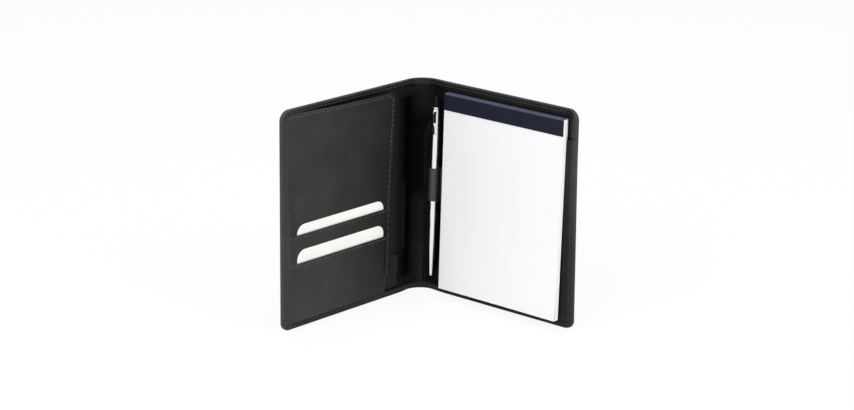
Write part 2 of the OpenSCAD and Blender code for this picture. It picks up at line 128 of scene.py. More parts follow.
def colour(name, description, code):
    """A colour that a user may change."""
    return bpy.props.FloatVectorProperty(
        name=name, description=description, default=linear(code), size=3, min=0, max=1, subtype="COLOR"
    )


class CaseSizes(bpy.types.PropertyGroup):
    """Sizes of the leather case."""

    open_angle: angle("Opening", "Angle between the two covers", 95)
    spine_r: length("Spine radius", "Outer radius of the rounded spine", 17)
    height: length("Height", "Height of the case", 161)
    cover_w: length("Cover width", "Width of a cover from where the outer faces would meet", 140.75)
    corner_r: length("Corner", "Room that an outer corner takes up", 9.5)
    upper_r: length("Upper corners", "Radius of the upper outer corners", 8)
    lower_r: length("Lower corners", "Radius of the lower outer corners", 6)
    edge_t: length("Edge thickness", "Thickness of a cover at its turned edge", 3.8)
    spine_edge_t: length("Spine edge", "Thickness of the spine at its turned edge", 2.25)
    hem_w: length("Hem width", "Width of the turned edge", 5)
    tuck: length("Tuck", "Distance from the outer edge at which inner layers end", 1.1)
    lining_t: length("Lining thickness", "Thickness of the lining cloth", 0.4)
    lining_n: length("Lining depth", "Depth of the lining's face on a cover", 2.2)
    spine_lining_n: length("Spine lining depth", "Depth of the lining's face on the spine", 1.4)


class PocketSizes(bpy.types.PropertyGroup):
    """Sizes of the pockets on both covers."""

    panel_t: length("Leather thickness", "Thickness of the pockets' leather", 0.7)
    base_n: length("Depth", "Depth at which the pockets' leather is tucked in", 2.25)
    lift: length("Bulge", "How far the document pocket stands off at its mouth", 8.8)
    sewn_lift: share("Sewn end", "Share of the bulge left at the mouth's sewn end", 0.25)
    twist_z: length("Twist height", "Height from which the mouth closes towards its sewn end", 112)
    inner_u: length("Inner edge", "Place of the document pocket's inner edge", 38.75)
    top: length("Top", "Height of the document pocket's mouth", 157.2)
    corner_r: length("Pocket corner", "Radius of the pockets' inner upper corners", 6)
    upper_slot: length("Upper slot", "Height of the upper card slot", 70.8)
    lower_slot: length("Lower slot", "Height of the lower card slot", 50)
    foot: length("Foot seam", "Height of the seam under the upper card", 18.2)
    pad_top: length("Pad pocket top", "Height of the pad pocket's mouth", 139)
    pad_n: length("Pad pocket depth", "Depth of the pad pocket's leather in front of the pad's card", 4.5)
    pad_corner_r: length("Pad pocket corner", "Radius of the pad pocket's upper corner by the pen", 24)
    lap: length("Spine lap", "How far the pad pocket's leather laps onto the spine", 10.2)
    label_w: length("Label width", "Width of the woven label that shows", 12)
    label_h: length("Label height", "Height of the woven label", 24.5)
    label_z: length("Label place", "Height of the label's lower edge", 6)
    label_t: length("Label thickness", "Thickness of the woven label", 0.3)


class CardSizes(bpy.types.PropertyGroup):
    """Sizes of the two cards."""

    width: length("Width", "Width of a card", 85)
    height: length("Height", "Height of a card", 54)
    thickness: length("Thickness", "Thickness of a card", 0.35)
    corner_r: length("Corner radius", "Radius of a card's upper corners", 7)
    place_u: length("Place", "Place of the cards' inner side edge", 45.75)
    upper_z: length("Upper card", "Height of the upper card's foot", 24.2)
    lower_z: length("Lower card", "Height of the lower card's foot", 5.7)
    upper_off: length("Upper card depth", "Upper card's distance from the pocket's back", 1.25)
    lower_off: length("Lower card depth", "Lower card's distance from the pocket's back", 2.5)


class PadSizes(bpy.types.PropertyGroup):
    """Sizes of the writing pad."""

    width: length("Width", "Width of the pad", 105)
    height: length("Height", "Height of the pad", 148)
    foot_trim: length("Foot trim", "How far the sheets end above the foot of their card", 1)
    sheets_t: length("Thickness", "Thickness of the sheets", 4)
    page_t: length("Top sheet", "Thickness of the top sheet", 0.2)
    lean: angle("Lean", "Lean of the sheets from their card", 1.5)
    place_u: length("Place", "Place of the pad's inner side edge", 28.75)
    top: length("Top", "Height of the pad's upper edge", 154)
    sheets_n: length("Depth", "Depth of the back of the sheets at their upper edge", 4.907)
    card_n: length("Card depth", "Depth of the back of the pad's card", 3.9)
    card_t: length("Card thickness", "Thickness of the pad's card", 0.5)
    strip_w: length("Strip height", "Height of the binding strip on the front", 12)
    strip_t: length("Strip thickness", "Thickness of the binding strip", 0.3)


class PenSizes(bpy.types.PropertyGroup):
    """Sizes of the pen and its loop."""

    diameter: length("Diameter", "Diameter of the barrel", 7)
    length: length("Length", "Length of the barrel", 129)
    nose_l: length("Nose", "Length of the tapered nose", 22.7)
    nose_d: length("Nose end", "Diameter of the nose at its end", 2.2)
    top_d: length("Top", "Diameter of the barrel at its top", 5.4)
    plunger_d: length("Plunger", "Diameter of the plunger", 4)
    plunger_l: length("Plunger length", "Length of the plunger that shows", 7.5)
    clip_l: length("Clip", "Length of the clip", 20)
    clip_w: length("Clip width", "Width of the clip", 2.4)
    clip_turn: angle("Clip turn", "Turn of the clip round the barrel", 63)
    lean: angle("Lean", "Lean of the pen along the cover", 1.2)
    place_u: length("Place", "Place of the pen along the cover", 18.7776)
    place_n: length("Depth", "Depth of the pen's axis", 7.4)
    below: length("Below loop", "Length of the pen below the middle of its loop", 70.7)
    loop_z: length("Loop height", "Height of the middle of the loop", 84)
    loop_h: length("Loop", "Length of the loop along the pen", 24.6)
    loop_t: length("Loop leather", "Thickness of the loop's leather", 0.8)
    loop_r: length("Loop radius", "Outer radius of the loop", 4.4)
    loop_tail: length("Loop tail", "Reach of the loop's sewn tail", 8.3)


class SewingSizes(bpy.types.PropertyGroup):
    """Sizes of the stitches."""

    pitch: length("Pitch", "Distance from stitch to stitch", 3.8)
    stitch: length("Stitch", "Length of a stitch that shows", 3)
    thread: length("Thread", "Thickness of the thread", 0.6)
    hem_in: length("Hem seam", "Distance of the hem's seam from the edge", 2.4)
    pocket_in: length("Pocket seam", "Distance of the pockets' seams from their edges", 2)
    tilt: angle("Unevenness", "How far a stitch may turn from its seam", 7)


class NotebookColours(bpy.types.PropertyGroup):
    """Colours of the notebook."""

    leather: colour("Leather", "Dyed leather of the case", "#0E0E0E")
    # Painted shade: a darker copy of the leather for the pad pocket, which lies in shade by the pen and the pad
    shaded_leather: colour("Unrubbed leather", "Leather that lies under the pen and the pad", "#0A0A0A")
    # Also the tone to which painted light pales the leather
    rubbed: colour("Rubbed leather", "Leather where it is rubbed", "#4C4C4C")
    lining: colour("Lining", "Lining cloth", "#030303")
    # Painted light: tone of the lining where light is painted onto it
    painted_lit_lining: colour("Open lining", "Lining cloth where it lies open to the light", "#303030")
    thread: colour("Thread", "Sewing thread", "#4A4A4A")
    # A paler copy of the thread, sewn on the document pocket
    pale_thread: colour("Rubbed thread", "Thread that hands rub pale on the document pocket", "#606060")
    # Painted shade: a darker copy of the thread for the pad pocket
    shaded_thread: colour("Unrubbed thread", "Thread that lies under the pen and the pad", "#262626")
    label: colour("Label", "Woven label", "#1E1E1E")
    card: colour("Cards", "Cards in the pocket", "#F7F5F1")
    paper: colour("Paper", "Sheets of the pad", "#F6F5F7")
    board: colour("Board", "Pad's card and the case's boards", "#9C9A96")
    strip: colour("Strip", "Binding strip of the pad", "#171A2B")
    strip_edge: colour("Strip edge", "Binding strip along its fold", "#484C5E")
    chrome: colour("Chrome", "Plating of the pen", "#EDEDEF")
    plastic: colour("Plastic", "Plunger and clip end", "#0E0E0F")


class Notebook(bpy.types.PropertyGroup):
    """Everything that a user may change."""

    case: bpy.props.PointerProperty(type=CaseSizes)
    pockets: bpy.props.PointerProperty(type=PocketSizes)
    cards: bpy.props.PointerProperty(type=CardSizes)
    pad: bpy.props.PointerProperty(type=PadSizes)
    pen: bpy.props.PointerProperty(type=PenSizes)
    sewing: bpy.props.PointerProperty(type=SewingSizes)
    colours: bpy.props.PointerProperty(type=NotebookColours)


# Places
def ramp(x, start, end):
    """0 up to start, 1 from end on, straight between."""
    return np.clip((x - start) / (end - start), 0.0, 1.0)


def ease(x, start, end):
    """As ramp, with soft ends."""
    t = ramp(x, start, end)
    return t * t * (3 - 2 * t)


class Places:
    """Where things lie: s runs along the case from the middle of the spine, u along a cover, n from
    the outer face inwards, and z upwards."""

    def __init__(self, notebook):
        case = notebook.case
        half = case.open_angle / 2
        self.notebook = notebook
        self.sin = math.sin(half)
        self.cos = math.cos(half)
        self.turn = math.pi / 2 - half
        self.spine_r = case.spine_r
        self.arc = case.spine_r * self.turn
        self.fold_u = case.spine_r * self.cos / self.sin
        self.spine_y = CAD_BOX[1].y - case.spine_r
        self.corner_y = self.spine_y + case.spine_r / self.sin
        self.reach = self.arc + case.cover_w - self.fold_u
        self.hem_u = case.cover_w - case.hem_w

    def along(self, u):
        """The place along the case of a place along a cover."""
        return self.arc + u - self.fold_u

    def on_cover(self, s):
        """The place along a cover of a place along the case."""
        return np.abs(s) - self.arc + self.fold_u

    def case(self, s, n, z):
        """A point of the case, wrapped round the spine."""
        distance = np.abs(s)
        turned = np.minimum(distance, self.arc) / self.spine_r
        over = np.maximum(distance - self.arc, 0)
        radius = self.spine_r - n
        x = radius * np.sin(turned) + over * self.sin
        y = self.spine_y + radius * np.cos(turned) - over * self.cos
        return np.stack(np.broadcast_arrays(np.where(s < 0, -x, x), y, z), -1)

    def cover(self, side, u, n, z):
        """A point of a flat cover."""
        x = side * (u * self.sin - n * self.cos)
        y = self.corner_y - u * self.cos - n * self.sin
        return np.stack(np.broadcast_arrays(x, y, z), -1)

    def depth(self, s, on_cover, on_spine):
        """A depth that changes softly from the spine to a cover."""
        before, after = FOLD_SOFT
        return on_spine + (on_cover - on_spine) * ease(np.abs(s), self.arc + before, self.arc + after)

    def pad(self, a, y, z):
        """A point of the pad's leaning sheets: a across, y from their back, z from their top."""
        pad = self.notebook.pad
        n = pad.sheets_n + y * math.cos(pad.lean) - z * math.sin(pad.lean)
        up = pad.top + y * math.sin(pad.lean) + z * math.cos(pad.lean)
        return self.cover(RIGHT, pad.place_u + a, n, up)

    def pen(self, a, b, c):
        """A point of the pen: a along the cover, b inwards, c along the axis from the writing end."""
        pen = self.notebook.pen
        c = c - pen.below
        u = pen.place_u + a * math.cos(pen.lean) + c * math.sin(pen.lean)
        z = pen.loop_z - a * math.sin(pen.lean) + c * math.cos(pen.lean)
        return self.cover(RIGHT, u, pen.place_n + b, z)

    def card(self, off, foot, a, b, c):
        """A point of a card: a across, b up its face, c through it."""
        pockets = self.notebook.pockets
        hem_w = self.notebook.case.hem_w
        slope = math.atan(pockets.lift / (pockets.top - hem_w))
        away = off * math.cos(slope) + c
        up = (foot - hem_w) / math.cos(slope) + b
        n = pockets.base_n + away * math.cos(slope) + up * math.sin(slope)
        z = hem_w - away * math.sin(slope) + up * math.cos(slope)
        return self.cover(LEFT, self.notebook.cards.place_u + a, n, z)


# Meshes
def ring(box, radii, inset, across, up, steps):
    """One closed line of a rounded rectangle, drawn in by inset, counter-clockwise from its lower left."""
    x0, x1, y0, y1 = box
    k = [max(r, inset) for r in radii]
    fan = np.linspace(0, math.pi / 2, steps + 1)[1:-1]

    def line(start, end, t):
        return np.outer(1 - t, start) + np.outer(t, end)

    def corner(x, y, r, first):
        return np.stack([x + r * np.cos(first + fan), y + r * np.sin(first + fan)], 1)

    return np.concatenate(
        [
            line((x0 + k[0], y0 + inset), (x1 - k[1], y0 + inset), across),
            corner(x1 - k[1], y0 + k[1], k[1] - inset, -math.pi / 2),
            line((x1 - inset, y0 + k[1]), (x1 - inset, y1 - k[2]), up),
            corner(x1 - k[2], y1 - k[2], k[2] - inset, 0),
            line((x1 - k[2], y1 - inset), (x0 + k[3], y1 - inset), 1 - across[::-1]),
            corner(x0 + k[3], y1 - k[3], k[3] - inset, math.pi / 2),
            line((x0 + inset, y1 - k[3]), (x0 + inset, y0 + k[0]), 1 - up[::-1]),
            corner(x0 + k[0], y0 + k[0], k[0] - inset, math.pi),
        ]
    )


def shares(points, inset=0.0):
    """Places as shares of the way from the first to the last, less inset at both ends."""
    points = np.asarray(points, float)
    low, high = points[0] + inset, points[-1] - inset
    inner = points[(points > low + TINY) & (points < high - TINY)]
    return np.concatenate([[0.0], (inner - low) / (high - low), [1.0]])


def spaced(start, end, step):
    """Even places from start to end, about a step apart."""
    return np.linspace(start, end, max(2, round(abs(end - start) / step) + 1))


def joined(*runs):
    """Several runs of places as one rising run."""
    return np.unique(np.round(np.concatenate([np.atleast_1d(r) for r in runs]), 7))


def grid_faces(rows, columns, first, closed=False):
    """Quads over rows of points, closed to a tube where asked."""
    i = np.arange(columns if closed else columns - 1)
    j = np.arange(rows - 1)[:, None] * columns + first
    k = (i + 1) % columns
    return np.stack([j + i, j + k, j + k + columns, j + i + columns], -1).reshape(-1, 4)


def sheet(name, box, radii, rings, across, up, place, steps=8, **marks):
    """A mesh of a closed sheet. Each ring is an inset and a layer, from one face round the edge to the
    other face, and place turns x, y, inset and layer into points. Each mark is an attribute, worked out
    from the points, x and y."""
    x0, x1, y0, y1 = box
    deep = rings[0][0]
    grid = np.meshgrid(x0 + deep + across * (x1 - x0 - 2 * deep), y0 + deep + up * (y1 - y0 - 2 * deep))
    face = np.stack([g.ravel() for g in grid], 1)
    rims = [ring(box, np.broadcast_to(radii, 4), inset, across, up, steps) for inset, layer in rings]
    flat = [face, *rims, face]
    rows = [rings[0], *rings, rings[-1]]
    values = np.concatenate([np.tile(row, (len(part), 1)) for row, part in zip(rows, flat)])
    x, y = np.concatenate(flat).T
    points = place(x, y, *values.T)
    rim = len(rims[0])
    faces = [
        grid_faces(len(up), len(across), 0),
        grid_faces(len(rings), rim, len(face), closed=True),
        grid_faces(len(up), len(across), len(face) + len(rings) * rim),
    ]
    kept = {"edge": values[:, 0] / MM, "across": x}
    kept.update({mark: share_of(points, x, y) for mark, share_of in marks.items()})
    return make_mesh(name, points, np.concatenate(faces), kept)


def lathe(name, profile, place, turns=48):
    """A mesh of a closed outline of radius and height in millimetres, turned round an axis."""
    outline = np.array([*profile, profile[0]]) * MM
    around = np.linspace(0, 2 * math.pi, turns, endpoint=False)
    a = outline[:, :1] * np.cos(around)
    b = outline[:, :1] * np.sin(around)
    c = np.broadcast_to(outline[:, 1:], a.shape)
    return make_mesh(name, place(a, b, c).reshape(-1, 3), grid_faces(len(outline), turns, 0, closed=True))


def follow(path):
    """Lengths along a path, and a function for points at a length along it and a distance beside it."""
    run = np.concatenate([[0], np.cumsum(np.linalg.norm(np.diff(path, axis=0), axis=1))])
    slope = np.gradient(path, run, axis=0)
    slope /= np.linalg.norm(slope, axis=1)[:, None]

    def beside(x, off):
        a, b = (np.interp(x, run, column) for column in path.T)
        da, db = (np.interp(x, run, column) for column in slope.T)
        return a + db * off, b - da * off

    return run, beside


def make_mesh(name, points, faces, marks=None):
    """A mesh with merged doubles and outward faces, smooth but for its creases. Marks are kept as
    attributes of the points."""
    mesh = bpy.data.meshes.new(name)
    mesh.from_pydata(np.asarray(points).tolist(), [], np.asarray(faces).tolist())
    for mark, values in (marks or {}).items():
        mesh.attributes.new(mark, "FLOAT", "POINT").data.foreach_set("value", values.astype(np.float32))
    bm = bmesh.new()
    bm.from_mesh(mesh)
    bmesh.ops.remove_doubles(bm, verts=bm.verts, dist=DOUBLE)
    bmesh.ops.dissolve_degenerate(bm, edges=bm.edges, dist=TINY)
    bmesh.ops.recalc_face_normals(bm, faces=bm.faces)
    smooth_out(bm)
    bm.to_mesh(mesh)
    bm.free()
    return mesh


def smooth_out(bm):
    """Smooth faces, with sharp edges where they turn far."""
    for face in bm.faces:
        face.smooth = True
    for edge in bm.edges:
        edge.smooth = len(edge.link_faces) == 2 and edge.calc_face_angle(0) < CREASE


def half_mesh(name, mesh, side):
    """The half of a mesh on one side of the spine's middle, closed there."""
    half = mesh.copy()
    half.name = name
    bm = bmesh.new()
    bm.from_mesh(half)
    across = bm.verts.layers.float["across"]
    beyond = [v for v in bm.verts if v[across] * side < -DOUBLE]
    bmesh.ops.delete(bm, geom=beyond, context="VERTS")
    bmesh.ops.holes_fill(bm, edges=[e for e in bm.edges if e.is_boundary], sides=0)
    smooth_out(bm)
    bm.to_mesh(half)
    bm.free()
    return half


# Pieces
def piece(mesh, look):
    """An object for a finished mesh, under its name, with its finish."""
    mesh.materials.clear()
    mesh.materials.append(finish(look))
    made = bpy.data.objects.new(mesh.name, mesh)
    bpy.context.scene.collection.objects.link(made)
    return made


def carried(mesh, look, slot, body, *nodes):
    """A piece that rides on a body, in place of CAD nodes."""
    made = piece(mesh, look)
    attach(made, body)
    if nodes:
        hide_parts(*nodes)
    return made


def bend(places, made, side, before=4 * MM, after=9 * MM):
    """Bends a piece over the fold between a cover and the spine."""
    body = "left_cover" if side == LEFT else "right_cover"
    fold = places.cover(side, places.fold_u, FOLD_DEPTH, 0)
    towards = np.array([-side * places.sin, places.cos, 0])
    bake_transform(made, body, "spine", start=tuple(fold - before * towards), end=tuple(fold + after * towards))


def bent_halves(places, whole, look, node, spine_node):
    """Both halves of a mesh that lies over the spine, each bent at its fold, in place of its nodes."""
    halves = []
    for side, word in SIDES:
        made = piece(half_mesh(f"{word}_{whole.name}", whole, side), look)
        bend(places, made, side)
        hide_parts(f"{word}_{node}", spine_node)
        halves.append((word, made))
    return halves


def dress_node(name, look):
    """Gives a CAD node that stays, in sight or inside, its own material."""
    node = bpy.data.objects.get(name)
    if node is None:
        raise RuntimeError(f"the frame has no node named {name}")
    node.data.materials.clear()
    node.data.materials.append(finish(look))


# Materials: each function gives the inputs of its shader
def add_node(tree, kind, links=None, **settings):
    """Adds a node with its settings; links gives each input a value, a socket or a node's first output."""
    node = tree.nodes.new(kind)
    for name, value in settings.items():
        setattr(node, name, value)
    for name, value in (links or {}).items():
        if isinstance(value, bpy.types.Node):
            value = value.outputs[0]
        if isinstance(value, bpy.types.NodeSocket):
            tree.links.new(value, node.inputs[name])
        else:
            node.inputs[name].default_value = value
    return node


def rgba(value):
    """A linear colour with full cover."""
    return (*value, 1.0)


def leather(tree, where, tone, rubbed, grain, roughness, shine):
    """Drum-dyed cowhide, plated smooth: a dense black with pebbled grain that breaks up its soft gloss, rucked
    where its hem is gathered, cloudy from handling, rubbed paler along turned edges, and paler again where
    painted light is laid on through an attribute."""
    cells = add_node(tree, "ShaderNodeTexVoronoi", {"Vector": where, "Scale": 1 / grain}, feature="SMOOTH_F1")
    pores = add_node(tree, "ShaderNodeTexNoise", {"Vector": where, "Scale": 3 / grain, "Detail": 3})
    cloud = add_node(tree, "ShaderNodeTexNoise", {"Vector": where, "Scale": 1 / (22 * MM), "Detail": 5})
    gathers = {"Scale": 1 / (2.2 * MM), "Detail": 2, "Distortion": 0.8}
    rucks = add_node(tree, "ShaderNodeTexNoise", {"Vector": where, **gathers})
    edge = add_node(tree, "ShaderNodeAttribute", attribute_name="edge").outputs["Fac"]
    worn = add_node(tree, "ShaderNodeAttribute", attribute_name="worn").outputs["Fac"]
    on_hem = {"From Min": 5.2, "From Max": 3.4, "To Min": 0.0, "To Max": 4.0}
    hem = add_node(tree, "ShaderNodeMapRange", {"Value": edge, **on_hem})
    fine = add_node(tree, "ShaderNodeMath", {0: cells, 1: pores}, operation="MULTIPLY")
    height = add_node(tree, "ShaderNodeMath", {0: rucks, 1: hem, 2: fine}, operation="MULTIPLY_ADD")
    bump = add_node(tree, "ShaderNodeBump", {"Height": height, "Strength": 0.35, "Distance": 0.12 * MM})
    on_edge = {"From Min": 0.0, "From Max": 1.1, "To Min": 0.3, "To Max": 0.0}
    wear = add_node(tree, "ShaderNodeMapRange", {"Value": edge, **on_edge})
    # Paler at rubbed edges, and where painted light is laid on
    rub = add_node(tree, "ShaderNodeMath", {0: wear, 1: pores, 2: worn}, operation="MULTIPLY_ADD")
    handling = {"From Min": 0.3, "From Max": 0.7, "To Min": -0.04, "To Max": 0.07}
    handled = add_node(tree, "ShaderNodeMapRange", {"Value": cloud, **handling})
    part = add_node(tree, "ShaderNodeMath", {0: rub, 1: handled}, operation="ADD", use_clamp=True)
    tint = add_node(tree, "ShaderNodeMix", {0: part, 6: rgba(tone), 7: rgba(rubbed)}, data_type="RGBA")
    polish = {"From Min": 0.3, "From Max": 0.7, "To Min": roughness + 0.08, "To Max": roughness - 0.08}
    gloss = add_node(tree, "ShaderNodeMapRange", {"Value": cloud, **polish})
    return {"Base Color": tint.outputs[2], "Roughness": gloss, "Normal": bump, "Specular IOR Level": shine}


def satin(tree, where, tone, lit):
    """Viscose lining cloth, pressed flat over the boards: nearly black and faintly mottled, with light and
    shade painted into its colour, paler where it lies open to the light."""
    mottle = add_node(tree, "ShaderNodeTexNoise", {"Vector": where, "Scale": 1 / (1.3 * MM), "Detail": 4})
    patches = {"From Min": 0.3, "From Max": 0.7, "To Min": 0.45, "To Max": 0.95}
    patched = add_node(tree, "ShaderNodeMapRange", {"Value": mottle, **patches})
    light = add_node(tree, "ShaderNodeAttribute", attribute_name="light").outputs["Fac"]
    part = add_node(tree, "ShaderNodeMath", {0: patched, 1: light}, operation="MULTIPLY")
    tint = add_node(tree, "ShaderNodeMix", {0: part, 6: rgba(tone), 7: rgba(lit)}, data_type="RGBA")
    bump = add_node(tree, "ShaderNodeBump", {"Height": mottle, "Strength": 0.4, "Distance": 0.15 * MM})
    return {"Base Color": tint.outputs[2], "Roughness": 0.55, "Normal": bump, "Specular IOR Level": 0.02}


def woven(tree, where, tone, thread, sheen, roughness):
    """Plain-woven cloth: crossing yarns that catch light on their crowns, with shade painted darker into the
    hollows between them, and a soft bloom. The yarns are drawn a little coarser than real ones, so that they
    show."""
    weave = {"Vector": where, "Scale": ONE_BAND / thread, "Distortion": 0.6, "Detail": 1}
    warp, weft = (add_node(tree, "ShaderNodeTexWave", weave, bands_direction=way) for way in ("X", "Z"))
    crossed = {0: warp.outputs["Fac"], 1: weft.outputs["Fac"]}
    height = add_node(tree, "ShaderNodeMath", crossed, operation="MULTIPLY")
    bump = add_node(tree, "ShaderNodeBump", {"Height": height, "Strength": 0.3, "Distance": 0.08 * MM})
    shaded_hollow = rgba([c * 0.75 for c in tone])
    tint = add_node(tree, "ShaderNodeMix", {0: height, 6: shaded_hollow, 7: rgba(tone)}, data_type="RGBA")
    bloom = {"Sheen Weight": sheen, "Sheen Roughness": 0.4, "Specular IOR Level": 0.2}
    return {"Base Color": tint.outputs[2], "Roughness": roughness, "Normal": bump, **bloom}


def paper(tree, where, tone, roughness, fibre, relief):
    """Uncoated paper or card: nearly even, with a faint fibrous tooth and tone."""
    tooth = add_node(tree, "ShaderNodeTexNoise", {"Vector": where, "Scale": 1 / fibre, "Detail": 4})
    dark = rgba([c * 0.94 for c in tone])
    pale = rgba([min(1, c * 1.04) for c in tone])
    tint = add_node(tree, "ShaderNodeMix", {0: tooth, 6: dark, 7: pale}, data_type="RGBA")
    bump = add_node(tree, "ShaderNodeBump", {"Height": tooth, "Strength": relief, "Distance": 0.05 * MM})
    return {"Base Color": tint.outputs[2], "Roughness": roughness, "Normal": bump}


def crepe(tree, where, tone, edge_tone):
    """Crepe paper tape, dyed navy: matt, finely creped, and paler where its fold is rubbed."""
    creping = add_node(tree, "ShaderNodeTexNoise", {"Vector": where, "Scale": 1 / (0.7 * MM), "Detail": 3})
    fold = add_node(tree, "ShaderNodeAttribute", attribute_name="fold").outputs["Fac"]
    rub = add_node(tree, "ShaderNodeMath", {0: fold, 1: creping}, operation="MULTIPLY")
    part = add_node(tree, "ShaderNodeMapRange", {"Value": rub, "From Max": 0.55, "To Max": 1.0})
    tint = add_node(tree, "ShaderNodeMix", {0: part, 6: rgba(tone), 7: rgba(edge_tone)}, data_type="RGBA")
    bump = add_node(tree, "ShaderNodeBump", {"Height": creping, "Strength": 0.3, "Distance": 0.08 * MM})
    return {"Base Color": tint.outputs[2], "Roughness": 0.62, "Normal": bump, "Specular IOR Level": 0.18}


def metal(tree, where, tone, roughness, scuff):
    """Turned and plated metal: bright, with a faint haze of handling in its shine."""
    haze = add_node(tree, "ShaderNodeTexNoise", {"Vector": where, "Scale": 1 / (3 * MM), "Detail": 3})
    shine = {"To Min": roughness, "To Max": roughness + scuff}
    gloss = add_node(tree, "ShaderNodeMapRange", {"Value": haze, **shine})
    return {"Base Color": rgba(tone), "Roughness": gloss, "Metallic": 1.0}


def plastic(tree, where, tone, roughness):
    """Moulded ABS: even colour with a fine moulded haze."""
    haze = add_node(tree, "ShaderNodeTexNoise", {"Vector": where, "Scale": 1 / (0.8 * MM), "Detail": 2})
    shine = {"To Min": roughness, "To Max": roughness + 0.12}
    gloss = add_node(tree, "ShaderNodeMapRange", {"Value": haze, **shine})
    return {"Base Color": rgba(tone), "Roughness": gloss, "Specular IOR Level": 0.14}


def make_material(name, inputs_of, *values):
    """A material whose shader takes its inputs from one of the functions above."""
    material = bpy.data.materials.new(name)
    material.use_nodes = True
    tree = material.node_tree
    tree.nodes.clear()
    where = add_node(tree, "ShaderNodeTexCoord").outputs["Object"]
    shader = add_node(tree, "ShaderNodeBsdfPrincipled", inputs_of(tree, where, *values))
    add_node(tree, "ShaderNodeOutputMaterial", {"Surface": shader})
    return material


def finish(name):
    """A material by the name of its finish, made when it is first asked for."""
    found = bpy.data.materials.get(name)
    if found:
        return found
    tones = bpy.context.scene.notebook.colours
    finishes = {
        "smooth_cowhide": (leather, tones.leather, tones.rubbed, 0.9 * MM, 0.46, 0.22),
        "pocket_cowhide": (leather, tones.leather, tones.rubbed, 0.8 * MM, 0.44, 0.19),
        # Painted shade: a darker, duller copy of the cowhide
        "shaded_cowhide": (leather, tones.shaded_leather, tones.rubbed, 0.8 * MM, 0.6, 0.06),
        "satin_lining": (satin, tones.lining, tones.painted_lit_lining),
        "waxed_thread": (woven, tones.thread, 0.3 * MM, 0.02, 0.6),
        "pale_thread": (woven, tones.pale_thread, 0.3 * MM, 0.02, 0.6),
        # Painted shade: a darker copy of the thread
        "shaded_thread": (woven, tones.shaded_thread, 0.3 * MM, 0.0, 0.7),
        "woven_label": (woven, tones.label, 0.5 * MM, 0.02, 0.7),
        "business_card": (paper, tones.card, 0.5, 0.6 * MM, 0.08),
        "bond_paper": (paper, tones.paper, 0.7, 0.8 * MM, 0.1),
        "grey_board": (paper, tones.board, 0.8, 0.5 * MM, 0.3),
        "padding_glue": (paper, tones.paper, 0.45, 1.5 * MM, 0.2),
        "crepe_tape": (crepe, tones.strip, tones.strip_edge),
        "chrome_plate": (metal, tones.chrome, 0.1, 0.1),
        "refill_steel": (metal, linear("#B9BBBE"), 0.25, 0.15),
        "turned_brass": (metal, linear("#C9A35A"), 0.2, 0.15),
        "black_abs": (plastic, tones.plastic, 0.35),
    }
    return make_material(name, *finishes[name])


# Sheets of leather: each ring is an inset in millimetres and a share of the thickness, front to back
TURNED_EDGE = (
    (3.2, 1.0), (2.5, 0.97), (2.25, 0.86), (2.0, 0.78), (1.75, 0.86), (1.5, 0.98),
    (0.9, 1.08), (0.45, 1.04), (0.15, 0.84), (0.0, 0.5), (0.15, 0.14), (0.5, 0.0),
)
CUT_EDGE = ((0.25, 1.0), (0.08, 0.9), (0.0, 0.5), (0.08, 0.1), (0.25, 0.0))
TURNED_W = TURNED_EDGE[0][0] * MM
# Insets of the rings within a turned edge, close together near the edge and over the widest corner
INNER_RINGS = (
    *(3.9, 4.1, 4.3, 4.6, 5.0, 5.5, 6.0, 6.7, 7.5, 8.5),
    *np.arange(9.5, 20),
    *np.arange(20.3, 25, 0.4),
)


def rings_of(profile, deep):
    """A profile's rings in metres, reaching in to deep on both faces."""
    turned = profile[0][0] > 1
    inner = [inset for inset in INNER_RINGS if turned and inset * MM < deep]
    front = [(inset, profile[0][1]) for inset in reversed(inner)]
    back = [(inset, profile[-1][1]) for inset in inner]
    rows = [(inset * MM, layer) for inset, layer in (*front, *profile, *back) if inset * MM < deep]
    return [(deep, profile[0][1]), *rows, (deep, profile[-1][1])]


# The case's turned edge: inset and depth in millimetres
CASE_EDGE = (
    # Outer face with its seam's groove
    (9.5, 0.0), (7.0, 0.0), (4.6, 0.0), (3.2, 0.02), (2.65, 0.1), (2.4, 0.17), (2.15, 0.1), (1.8, 0.02),
    # Round the edge
    (1.4, -0.02), (1.0, 0.05), (0.45, 0.25), (0.12, 0.75), (0.0, 1.4), (0.0, 2.4), (0.12, 3.05), (0.45, 3.55),
    # Hem with its seam's groove
    (1.0, 3.76), (1.4, 3.82), (1.8, 3.82), (2.15, 3.66), (2.4, 3.54), (2.65, 3.66), (3.0, 3.8), (3.6, 3.82),
    (4.3, 3.8), (4.8, 3.72), (5.0, 3.45), (5.05, 3.0),
    # Under the hem and along the back of the leather
    (1.3, 3.0), (1.0, 2.85), (1.0, 1.15), (1.3, 1.0), (9.5, 1.0),
)
# Pleats in the hem at each corner, and ripples all along it
PLEATS = 9
PLEAT_DEPTH = 0.5 * MM
PLEAT_STEPS = 54
RIPPLE = 0.03 * MM
RIPPLE_S = 7.3 * MM
RIPPLE_Z = 6.1 * MM
# Where the edge's round ends, and depths of the hem's back, front and face
EDGE_ROUND = 0.3 * MM
HEM_BACK = 2.9 * MM
HEM_FRONT = 3.2 * MM
HEM_FACE = 3.8 * MM
# How much wider the hem is at the right cover's top and along the uprights, and how much narrower
# at the left cover's top
HEM_SPARE = 2.6 * MM
SIDE_SPARE = 0.4 * MM
TOP_TRIM = 0.8 * MM
NEAR_EDGE = 9 * MM
# How the hem is pressed over the pockets, dented at the pad pocket's mouth and flared at its foot
PRESSED = 0.25 * MM
MOUTH_DENT = 0.6 * MM
MOUTH_DENT_W = 0.8 * MM
MOUTH_DENT_Z = 0.6 * MM
FLARE = 1.8 * MM
FLARE_TOP = 120 * MM


